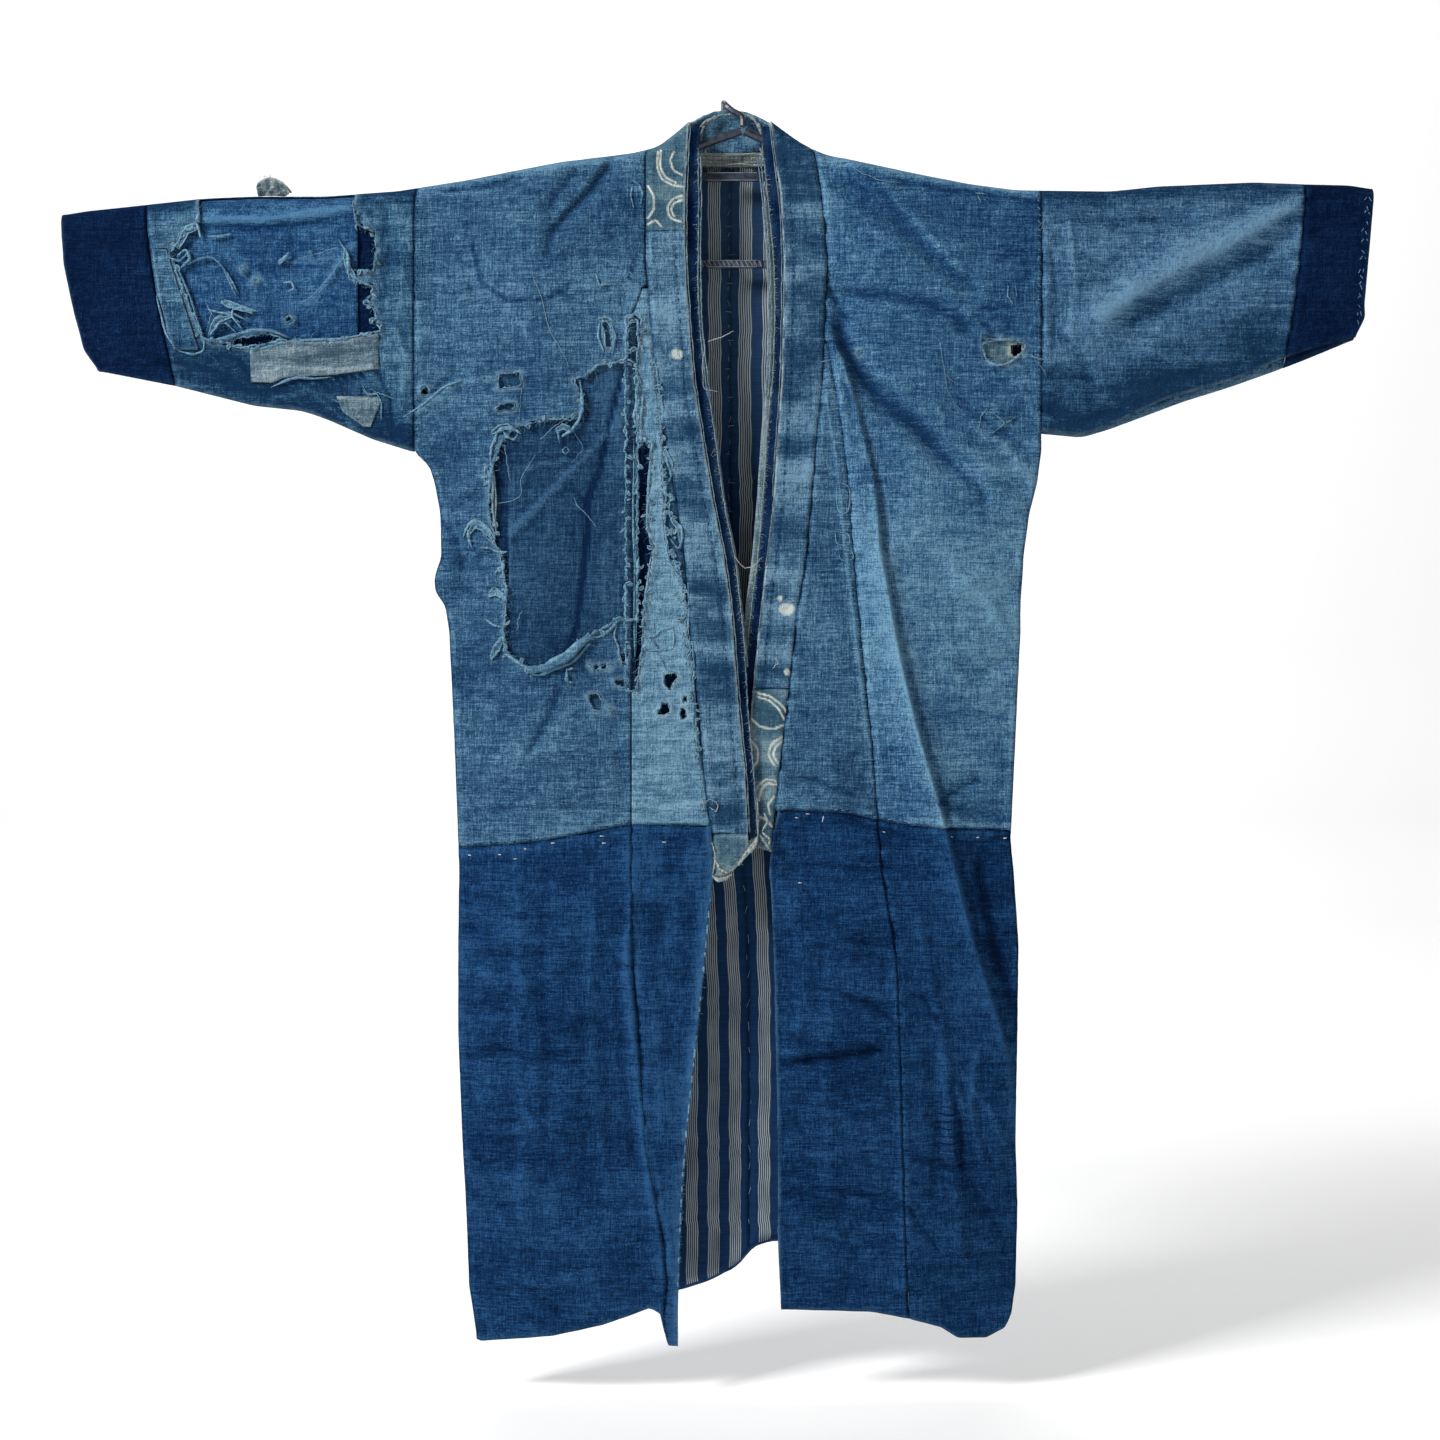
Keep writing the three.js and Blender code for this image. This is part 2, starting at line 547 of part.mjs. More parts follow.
place('lining_edge_left', piece({
  left: (z) => collar.navyLeft(z) - 7, right: (z) => collar.navyLeft(z) + 8,
  top: level(-110), bottom: level(-570),
  face: behind(frontLeft(), EDGE_INSET), thick: UNDER, across: 1, down: 13,
}), finishes.stripe);

// Striped lining of the back, in two widths
const LINING_INSET = CLOTH + 1.5;
const LINING_MARGIN = 14;
const LINING_TOP = -64;
const LINING_HEM = 4;
const liningTop = (x) => Math.min(LINING_TOP, shoulder.z(x) - VAULT - 4);
const liningBottom = (x) => hem.back(x) + LINING_HEM;
place('lining_right', piece({
  left: (z) => outerRight(z) + LINING_MARGIN, right: centre, top: liningTop, bottom: liningBottom,
  face: behind(back(), -LINING_INSET), facing: -1, thick: UNDER, across: 6, down: 20,
}), finishes.stripe);
place('lining_left', piece({
  left: centre, right: (z) => outerLeft(z) - LINING_MARGIN, top: liningTop, bottom: liningBottom,
  face: behind(back(), -LINING_INSET), facing: -1, thick: UNDER, across: 6, down: 20,
}), finishes.stripe);

// Layers under the tears
const UNDER_INSET = CLOTH + 1;
const DEEP_INSET = UNDER_INSET + UNDER + 0.9;
place('under_front_right', piece({
  left: level(-242), right: level(-88), top: level(-214), bottom: level(-634),
  face: behind(frontRight(), UNDER_INSET), thick: UNDER, across: 6, down: 16,
}), finishes.middle);
place('under_overlap_right', piece({
  left: level(-98), right: (z) => collar.seamRight(z) - 3, top: level(-212), bottom: level(-640),
  face: behind(frontRight(), DEEP_INSET), thick: UNDER, across: 2, down: 14,
}), finishes.navy);
place('under_sleeve_right', cut(piece({
  left: level(-570), right: level(-368), top: (x) => shoulder.z(x) - UNDER_INSET, bottom: level(-256),
  face: frontRight(UNDER_INSET), thick: UNDER, across: 7, down: 6, vaulted: true,
}), sleeveUnderHoles), finishes.middle);
place('under_sleeve_deep', piece({
  left: level(-504), right: level(-330), top: level(-112), bottom: level(-262),
  face: behind(frontRight(), DEEP_INSET), thick: UNDER, across: 5, down: 5,
}), finishes.navy);
place('under_armhole_left', cut(piece({
  left: level(250), right: level(308), top: level(-236), bottom: level(-274),
  face: behind(frontLeft(), UNDER_INSET), thick: UNDER, across: 3, down: 2,
}), [tear([[287, -246], [299, -245], [300, -255], [289, -257]])]), finishes.khaki);

// Patches sewn on the right sleeve
const PATCH_LIFT = GAP + UNDER;
const patch = { face: behind(frontRight(), -PATCH_LIFT), thick: UNDER };
const beigeTop = table('x z', [
  [-476, -252], [-454, -246], [-435, -242], [-416, -244], [-384, -242], [-346, -235],
]);
const beigeBottom = table('x z', [
  [-473, -283], [-454, -284], [-443, -279], [-390, -276], [-346, -270],
]);
place('patch_beige_large', piece({
  ...patch, left: level(-476), right: level(-346), top: beigeTop.z, bottom: beigeBottom.z, across: 6, down: 2,
}), finishes.beige);
place('patch_beige_small', piece({
  ...patch, left: table('z x', [[-296, -390], [-313, -384], [-328, -362]]).x,
  right: table('z x', [[-296, -348], [-304, -345], [-328, -356]]).x,
  top: level(-298), bottom: level(-328), across: 2, down: 2,
}), finishes.beige);
place('patch_cuff_side', piece({
  ...patch, left: table('z x', [[-149, -574], [-203, -566], [-251, -553]]).x,
  right: table('z x', [[-149, -560], [-197, -545], [-251, -528]]).x,
  top: level(-151), bottom: level(-251), across: 2, down: 5,
}), finishes.pale);

// A curled rag of torn cloth that stands above the right sleeve's top fold
const tuft = (u, v) => {
  const x = -470 + 35 * u - 6 * v * u;
  const foot = shoulder.z(x) + GAP;
  const rise = (1 - v) * 18 * Math.max(0.12, Math.sin(Math.PI * (0.22 + 0.74 * u)) ** 0.8);
  return new THREE.Vector3(x, -0.2 - 6 * Math.sin(2.4 * (1 - v)), foot + rise);
};
place('torn_tuft', wall(tuft, underSurface(tuft, CLOTH, 1), even(6), even(3)), finishes.pale);

// The frayed lower edge of the great tear, rolled up into a cord of cloth
const rollPath = [[-196, -573], [-178, -571], [-154, -560], [-144, -548], [-133, -538]];
const ROLL_RADIUS = 3.4;
const ROLL_LIFT = 0.1; // its flat sides bring it no nearer than about 0.3 mm
const rollCurve = new THREE.CatmullRomCurve3(rollPath.map(
  ([x, z]) => new THREE.Vector3(x, frontRight()(x, z) - ROLL_RADIUS - ROLL_LIFT, z)));
const disc = (radius, sides) => new THREE.Shape(Array.from({ length: sides }, (_, i) => {
  const angle = (2 * Math.PI * i) / sides;
  return new THREE.Vector2(radius * Math.cos(angle), radius * Math.sin(angle));
}));
const rod = (curve, radius, sides, steps) => new THREE.ExtrudeGeometry(
  disc(radius, sides), { extrudePath: curve, steps, bevelEnabled: false });
place('torn_roll', rod(rollCurve, ROLL_RADIUS, 6, 8), finishes.pale);

// Hanger: hook, two arms, a telescoping rod in each sleeve, a straight bar and a ribbed bar on two struts
const HOOK_RADIUS = 3.2;
const ARM_RADIUS = 4.3;
const ROD_RADIUS = 3.5;
const STRUT_RADIUS = 3.2;
const ARM_END = 300;
const ROD_END = 600;
const BAR = { top: -71.5, height: 8, depth: 6 };
const RIBBED = { top: -160, height: 7, depth: 6, pitch: 6, rib: 1 };
const STRUT = { right: -138, left: 122, foot: -170 };

const spline = (points) => new THREE.CatmullRomCurve3(points.map(([x, y, z]) => new THREE.Vector3(x, y, z)));
place('hanger_hook', rod(spline([
  [19, 0, -24], [18, 0.5, -14], [9, 3, -8], [2, 7, -1], [0, 14, HOOK_RADIUS], [0, -HANGER_Y, HOOK_RADIUS],
  [0, 36, 1], [0, 41, -8], [0, 41, -21],
]), HOOK_RADIUS, 8, 26), finishes.plastic);
place('hanger_arm_right', rod(spline([
  [17, 0, -29], [-14, 0, -40], [-45, 0, -52], [-78, 0, -62], [-114, 0, -62.5], [-162, 0, -67.8],
  [-210, 0, -76.8], [-258, 0, -86.6], [-ARM_END, 0, -97.6],
]), ARM_RADIUS, 8, 18), finishes.plastic);
place('hanger_arm_left', rod(spline([
  [21, 0, -29], [32, 0, -34], [60, 0, -48], [90, 0, -60.5], [126, 0, -65.6], [150, 0, -70.5],
  [198, 0, -80.6], [246, 0, -89.8], [ARM_END, 0, -97.2],
]), ARM_RADIUS, 8, 18), finishes.plastic);
place('hanger_rod_right', rod(
  spline([[-ARM_END - 4 * GAP, 0, -98.2], [-ROD_END, 0, -111.5]]), ROD_RADIUS, 8, 1), finishes.plastic);
place('hanger_rod_left', rod(
  spline([[ARM_END + 3 * GAP, 0, -97.9], [ROD_END, 0, -89]]), ROD_RADIUS, 8, 1), finishes.plastic);

const barStart = STRUT.right + STRUT_RADIUS + GAP;
const barEnd = STRUT.left - STRUT_RADIUS - GAP;
const barMiddle = (barStart + barEnd) / 2;
place('hanger_bar', new THREE.BoxGeometry(barEnd - barStart, BAR.depth, BAR.height)
  .translate(barMiddle, 0, BAR.top - BAR.height / 2), finishes.plastic);

const ribs = Math.floor((barEnd - barStart) / RIBBED.pitch);
const ribbedOutline = [[barEnd, RIBBED.depth / 2], [barStart, RIBBED.depth / 2]];
for (let i = 0; i < ribs; i += 1) {
  const x = barStart + (i * (barEnd - barStart)) / ribs;
  const front = -RIBBED.depth / 2;
  ribbedOutline.push([x, front], [x + RIBBED.pitch * 0.55, front - RIBBED.rib]);
}
ribbedOutline.push([barEnd, -RIBBED.depth / 2]);
place('hanger_ribbed_bar', new THREE.ExtrudeGeometry(
  new THREE.Shape(ribbedOutline.map(([x, y]) => new THREE.Vector2(x, y))),
  { depth: RIBBED.height, bevelEnabled: false, steps: 1 },
).translate(0, 0, RIBBED.top - RIBBED.height), finishes.plastic);
for (const [name, x, head] of [['right', STRUT.right, -69.9], ['left', STRUT.left, -70.6]]) {
  const strut = spline([[x, 0, head], [x, 0, STRUT.foot]]);
  place(`hanger_strut_${name}`, rod(strut, STRUT_RADIUS, 8, 1), finishes.plastic);
}

export default robe;
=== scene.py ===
import bpy
import mathutils
import numpy as np
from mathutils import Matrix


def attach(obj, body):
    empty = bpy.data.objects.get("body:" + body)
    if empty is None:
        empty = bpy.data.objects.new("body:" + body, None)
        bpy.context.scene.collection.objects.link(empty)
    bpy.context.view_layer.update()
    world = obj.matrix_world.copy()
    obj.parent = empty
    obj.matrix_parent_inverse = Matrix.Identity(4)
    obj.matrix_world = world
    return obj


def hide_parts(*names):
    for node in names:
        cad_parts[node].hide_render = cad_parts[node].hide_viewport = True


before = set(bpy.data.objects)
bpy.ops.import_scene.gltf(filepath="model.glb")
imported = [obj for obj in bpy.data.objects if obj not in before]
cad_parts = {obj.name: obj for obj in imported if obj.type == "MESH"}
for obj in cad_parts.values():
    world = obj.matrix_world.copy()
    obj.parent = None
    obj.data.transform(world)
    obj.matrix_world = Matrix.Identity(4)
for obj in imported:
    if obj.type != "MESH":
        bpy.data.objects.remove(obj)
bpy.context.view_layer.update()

MM = 0.001
HANGER_Y = -26.0  # y of the plane the robe hangs in, in front of the origin
CLOTH = 1.6  # thickness of a body cloth's solid
UNDER = 1.2  # of a patch or a layer under another
BAND = 3.2  # of the folded collar
BAND_PROUD = 1.2  # how far the collar stands out of the fronts
MIDDLE = 6.0  # x of the robe's middle
BODY_FULL = 21.0  # how far the body swells out of the hanger's plane
SLEEVE_FULL = 9.5  # and the sleeves
SEAM_EASE = 48.0  # how far from a seam most of that is reached
VAULT = 14.0  # height of the rounding over the shoulder
TUCK = 9.0  # how far the left front sinks behind the right one
SHELL = 0.9  # thickness of the cloth that is seen
START_LEVEL = -400.0  # height at which the search for a piece's edges begins
SETTLE_ROUNDS = 12  # rounds until a grid's points lie between all four edges
ROW_STRETCH = 1.2  # height of a grid's row, over the width of its columns
LIP_POINTS = 13
THREAD_POINTS = 44
PIPING_POINTS = 90


# Tables of the cut

def column(rows, index=1, soft=6.0):
    """One column read by the first one: straight lines between rows, averaged over `soft` to each side."""
    data = np.array(sorted(rows), dtype=float)

    def read(key):
        key = np.asarray(key, dtype=float)
        return sum(np.interp(key + soft * s, data[:, 0], data[:, index]) for s in (-1, -0.5, 0, 0.5, 1)) / 5

    return read


shoulder = column([
    (-666, -114), (-642, -110), (-594, -105), (-522, -97), (-474, -95), (-402, -95), (-330, -90),
    (-258, -79), (-162, -61), (-90, -52), (-66, -46), (-42, -27), (-29, -15), (-14, -6), (6, -3),
    (22, -5), (39, -13), (49, -22), (78, -43), (102, -54), (150, -64), (198, -74), (246, -83),
    (294, -89), (390, -90), (438, -85), (486, -83), (534, -81), (582, -83), (630, -84), (654, -88)])
UNDER_RIGHT = [
    (-630, -271), (-553, -286), (-474, -306), (-426, -311), (-402, -319), (-354, -340), (-312, -353)]
UNDER_LEFT = [
    (320, -332), (361, -337), (388, -327), (444, -300), (514, -280), (567, -257), (613, -243), (638, -237)]
UNDER_LEFT_BACK = [(320, -334), (361, -338), (388, -330), (462, -302), (510, -287), (558, -270), (582, -261),
                   (638, -238)]
sleeve_hem_right = column(UNDER_RIGHT)
sleeve_hem_left = column(UNDER_LEFT)
sleeve_hem_left_back = column(UNDER_LEFT_BACK)
SIDE = [
    (-353, -312, 320), (-367, -297, 318), (-383, -292, 316), (-415, -286, 308), (-458, -285, 302),
    (-480, -292, 301), (-494, -291, 300), (-508, -281, 299), (-534, -277, 299), (-640, -272, 294),
    (-743, -268, 289), (-774, -267, 292), (-846, -268, 297), (-935, -268, 296), (-1043, -264, 294),
    (-1114, -260, 296), (-1193, -257, 294), (-1232, -251, 288), (-1248, -249, 284)]
side_right = column(SIDE, 1, 4)
side_left = column(SIDE, 2, 4)
ARMHOLE = [(-85, -308, 319), (-109, -311, 319), (-360, -312, 320)]
armhole_right = column(ARMHOLE, 1)
armhole_left = column(ARMHOLE, 2)
CUFF_SEAM = [(-85, -582, 584), (-106, -581, 582), (-149, -577, 580), (-196, -570, 575), (-254, -559, 567),
             (-290, -552, 560)]
cuff_seam_right = column(CUFF_SEAM, 1)
cuff_seam_left = column(CUFF_SEAM, 2)
CUFF_END = [(-86, -666, 653), (-114, -666, 651), (-165, -663, 647), (-205, -655, 644), (-218, -652, 645),
            (-237, -647, 636), (-251, -644, 632), (-271, -630, 626)]
cuff_end_right = column(CUFF_END, 1, 3)
cuff_end_left = column(CUFF_END, 2, 3)
COLLAR = [
    (-20, -60, -35, -22, 36, 47, 64), (-55, -78, -37, -26, 39, 50, 91), (-100, -78, -39, -25, 44, 57, 98),
    (-165, -78, -39, -26, 50, 60, 103), (-223, -73, -35, -25, 51, 59, 101), (-280, -68, -31, -19, 49, 58, 99),
    (-338, -60, -22, -10, 44, 54, 93), (-400, -48, -12, -2, 40, 50, 87), (-460, -39, 0, 10, 35, 43, 82),
    (-521, -35, 8, 17, 27, 36, 72), (-575, -30, 12, 22, 22, 31, 67), (-616, -25, 15, 24, 18, 27, 62),
    (-677, -20, 21, 30, 14, 23, 55), (-742, -12, 24, 34, 9, 18, 48), (-785, -9, 24, 34, 6, 14, 45)]
band_right = column(COLLAR, 1)
fold_right = column(COLLAR, 2)
navy_right = column(COLLAR, 3)
navy_left = column(COLLAR, 4)
fold_left = column(COLLAR, 5)
band_left = column(COLLAR, 6)
OVERLAP = [
    (-190, -80, 101), (-222, -92, 102), (-246, -92, 103), (-307, -92, 114), (-376, -92, 123),
    (-454, -92, 129), (-540, -92, 137), (-654, -92, 149), (-712, -92, 153), (-779, -92, 159),
    (-859, -91, 173), (-931, -85, 176), (-1045, -78, 179), (-1076, -72, 180), (-1116, -65, 181),
    (-1147, -59, 182), (-1188, -57, 184), (-1218, -60, 185), (-1250, -58, 186)]
overlap_right = column(OVERLAP, 1)
overlap_left = column(OVERLAP, 2)
EDGE = [
    (-707, -16, 56), (-742, -12, 48), (-777, -9, 45), (-790, -12, 47), (-854, -18, 50), (-893, -22, 51),
    (-950, -28, 52), (-1035, -37, 54), (-1086, -41, 54), (-1147, -44, 54), (-1211, -46, 57), (-1250, -46, 57)]
edge_right = column(EDGE, 1)
edge_left = column(EDGE, 2)
WAIST = [(-268, -752, -752), (-198, -747, -748), (-160, -740, -746), (-91, -727, -742), (-13, -729, -738),
         (57, -713, -735), (120, -716, -734), (182, -728, -734), (211, -731, -735), (289, -734, -735)]
waist_front = column(WAIST, 1)
waist_back = column(WAIST, 2)
HEM = [
    (-260, -1243, -1240), (-245, -1248, -1240), (-172, -1239, -1229), (-121, -1227, -1218),
    (-90, -1216, -1212), (-74, -1210, -1208), (-62, -1216, -1206), (-57, -1247, -1205),
    (-44, -1248, -1203), (-14, -1240, -1194), (16, -1225, -1178), (29, -1215, -1160), (52, -1211, -1153),
    (148, -1214, -1176), (185, -1221, -1188), (218, -1231, -1199), (234, -1242, -1204),
    (264, -1244, -1212), (284, -1234, -1214), (292, -1216, -1214)]
hem_front = column(HEM, 1, 2)
hem_back = column(HEM, 2, 6)
SEAM_RIGHT = UNDER_RIGHT + [(x, z) for z, x, _ in SIDE[1:]]
SEAM_LEFT = UNDER_LEFT[::-1] + [(x, z) for z, _, x in SIDE]

# Creases: a path of (x, z), the half width, the height outwards and how much paler the cloth is painted
# there: painted shade in a trough, painted highlight and worn paleness on a ridge
FOLDS = [
    ((155, -463, 180, -587, 213, -704, 248, -843, 284, -955, 294, -1041), 17, 6, 0.25),
    ((262, -760, 276, -850, 290, -900), 26, -5, -0.25),
    ((107, -182, 127, -257, 154, -298, 189, -325, 225, -363), 15, -5, -0.15),
    ((101, -75, 178, -125, 223, -170, 248, -188), 13, -4, -0.1),
    ((123, -194, 199, -204, 242, -229), 12, -3, -0.1),
    ((575, -107, 490, -155, 441, -179, 381, -218), 18, 5, 0.2),
    ((560, -150, 470, -196, 400, -240), 17, -3, -0.1), ((-114, -61, -171, -128), 14, -3, -0.1),
    ((-516, -121, -376, -108), 10, 2.5, 0.2), ((-230, -800, -170, -905, -150, -1010), 26, 4, 0.05),
    ((-120, -860, -112, -1040), 20, -3, -0.05), ((-72, -900, -60, -1060, -52, -1180), 14, 3, 0.1),
    ((85, -962, 161, -955), 14, -3, -0.05), ((-300, -353, -262, -341, -245, -333), 14, -3, -0.1),
]
CREASES_RIGHT = [
    ((-280, -92, -234, -87, -204, -79), 3.5, -1.3, -0.5),
    ((-296, -84, -230, -74, -150, -66, -95, -62), 5, 0.8, 0.35),
    ((-112, -64, -132, -92, -158, -118, -172, -136, -178, -160), 4.5, -1.4, -0.35),
    ((-122, -66, -145, -96, -168, -122), 4, 1.2, 0.25), ((-171, -132, -152, -134), 3, -1, -0.3),
    ((-253, -145, -244, -186, -217, -203, -177, -203, -156, -191), 3.5, -0.5, -0.2),
    ((-150, -192, -120, -186, -95, -178), 5, 1, 0.2),
    ((-320, -322, -290, -300, -268, -284, -230, -281), 3.5, 1.3, 0.45),
    ((-318, -312, -292, -292, -270, -276), 3.5, -1.2, -0.3),
    ((-270, -395, -240, -380, -228, -376), 5, 1, 0.2), ((-272, -410, -245, -396), 4, -1, -0.25),
    ((-285, -470, -262, -450, -240, -448), 6, 1.2, 0.1),
    ((-288, -500, -262, -490, -245, -497), 6, -1.2, -0.15),
    ((-164, -591, -177, -623, -196, -655), 3.5, -1.3, -0.5),
    ((-262, -640, -200, -652, -140, -648), 9, 0.8, 0.1),
    ((-262, -690, -226, -700, -190, -692), 8, -0.9, -0.1), ((-110, -640, -100, -700), 6, -0.8, -0.1),
    ((-262, -782, -214, -790, -150, -780), 7, -1.1, -0.12),
    ((-255, -850, -200, -838, -160, -858), 8, 1.2, 0.12),
    ((-250, -912, -215, -900, -190, -925, -160, -921), 6, -1.2, -0.15),
    ((-90, -790, -98, -860, -92, -930, -80, -1010, -74, -1100), 5, 1.4, 0.2),
    ((-100, -812, -106, -880, -102, -960, -90, -1060), 5, -1.2, -0.2),
    ((-245, -1002, -190, -985, -150, -1000), 8, 1.1, 0.1),
    ((-240, -1080, -200, -1062, -160, -1075), 9, -1.1, -0.12),
    ((-210, -1150, -150, -1140, -110, -1160), 9, 1.1, 0.1),
    ((-205, -870, -190, -960, -188, -1050), 12, 1.5, 0.08),
    ((-253, -145, -244, -186, -217, -203, -177, -203, -156, -191), (3, 1.4), 0.5, -0.5),
    ((-140, -50, -152, -80, -178, -112), (3, 6), -0.9, -0.35),
    ((-134, -203, -99, -193, -94, -186), 2.5, 0.7, 0.35),
    ((-84, -153, -91, -168, -95, -182), 1.6, -0.7, -0.7),
    ((-215, -120, -180, -126, -140, -150), (8, 4), 0.6, 0.1),
    ((-285, -140, -262, -160, -250, -200), (9, 5), -0.6, -0.1),
    ((-300, -230, -262, -250, -225, -252), (8, 4), 0.7, 0.12),
    ((-286, -420, -270, -440, -262, -470), (3, 5), -1.0, -0.35),
    ((-288, -530, -268, -545, -244, -540), (7, 3), 0.8, 0.15),
    ((-270, -590, -240, -600, -215, -592), (5, 3), -0.7, -0.2),
    ((-262, -716, -200, -712, -120, -708), 3, -0.7, -0.3),
    ((-92, -690, -60, -694, -26, -690), 3, -0.6, -0.3),
    ((-92, -706, -60, -712, -24, -708), (4, 2), 0.6, 0.3),
    ((-566, -262, -520, -268, -480, -290, -440, -292), (3, 6), -0.9, -0.4),
    ((-459, -291, -424, -282, -400, -283, -360, -276), 1.8, -0.9, -1.0),
    ((-452, -300, -420, -292, -396, -300, -372, -296), (4, 2), 0.8, 0.5),
    ((-430, -312, -400, -322, -378, -338), (3, 6), -1.0, -0.6),
    ((-410, -300, -385, -318, -360, -344), (5, 2), 0.8, 0.5),
    ((-350, -270, -336, -300, -334, -340), (4, 2), -0.8, -0.5),
    ((-330, -230, -320, -260, -324, -310), (2, 4), 0.7, 0.35),
    ((-520, -262, -500, -256, -486, -262, -470, -292), 2, -0.8, -0.8),
    ((-540, -120, -566, -126), 3, 0.6, 0.4), ((-572, -140, -548, -146), 2.2, -0.6, -0.5),
    ((-340, -110, -336, -150, -342, -200), (3, 5), -0.6, -0.25),
    ((-362, -110, -356, -150, -358, -190), 3, 0.6, 0.3),
    ((-330, -100, -322, -150, -325, -210), 2.4, 0.5, 0.3),
    ((-500, -300, -460, -308, -430, -316), (7, 3), 0.7, 0.3),
    ((-560, -282, -520, -290, -490, -296), (7, 3), 0.7, 0.3),
    ((-254, -830, -232, -852, -205, -860, -170, -850), (3, 8), -0.9, -0.3),
    ((-240, -880, -200, -884, -165, -874), (8, 3), 0.8, 0.25),
    ((-258, -958, -226, -950, -196, -962, -168, -956), (3, 7), -0.9, -0.35),
    ((-244, -1030, -214, -1036, -176, -1026), (7, 3), 0.9, 0.25),
    ((-250, -1100, -224, -1110, -190, -1104), (3, 7), -0.8, -0.3),
    ((-220, -1180, -180, -1188, -130, -1180), (6, 3), 0.9, 0.3),
    ((-212, -760, -206, -840, -210, -930, -204, -1030, -206, -1130), (9, 4), 0.8, 0.15),
    ((-176, -770, -182, -860, -176, -960, -180, -1060), (4, 9), -0.7, -0.15),
    ((-130, -800, -136, -900, -128, -1010, -118, -1100), (8, 4), 0.9, 0.18),
    ((-92, -750, -94, -860, -88, -960, -78, -1050, -66, -1120, -60, -1200), (3, 12), 1.2, 0.25),
    ((-250, -800, -214, -792, -180, -802, -150, -796), 3, -0.6, -0.3),
]
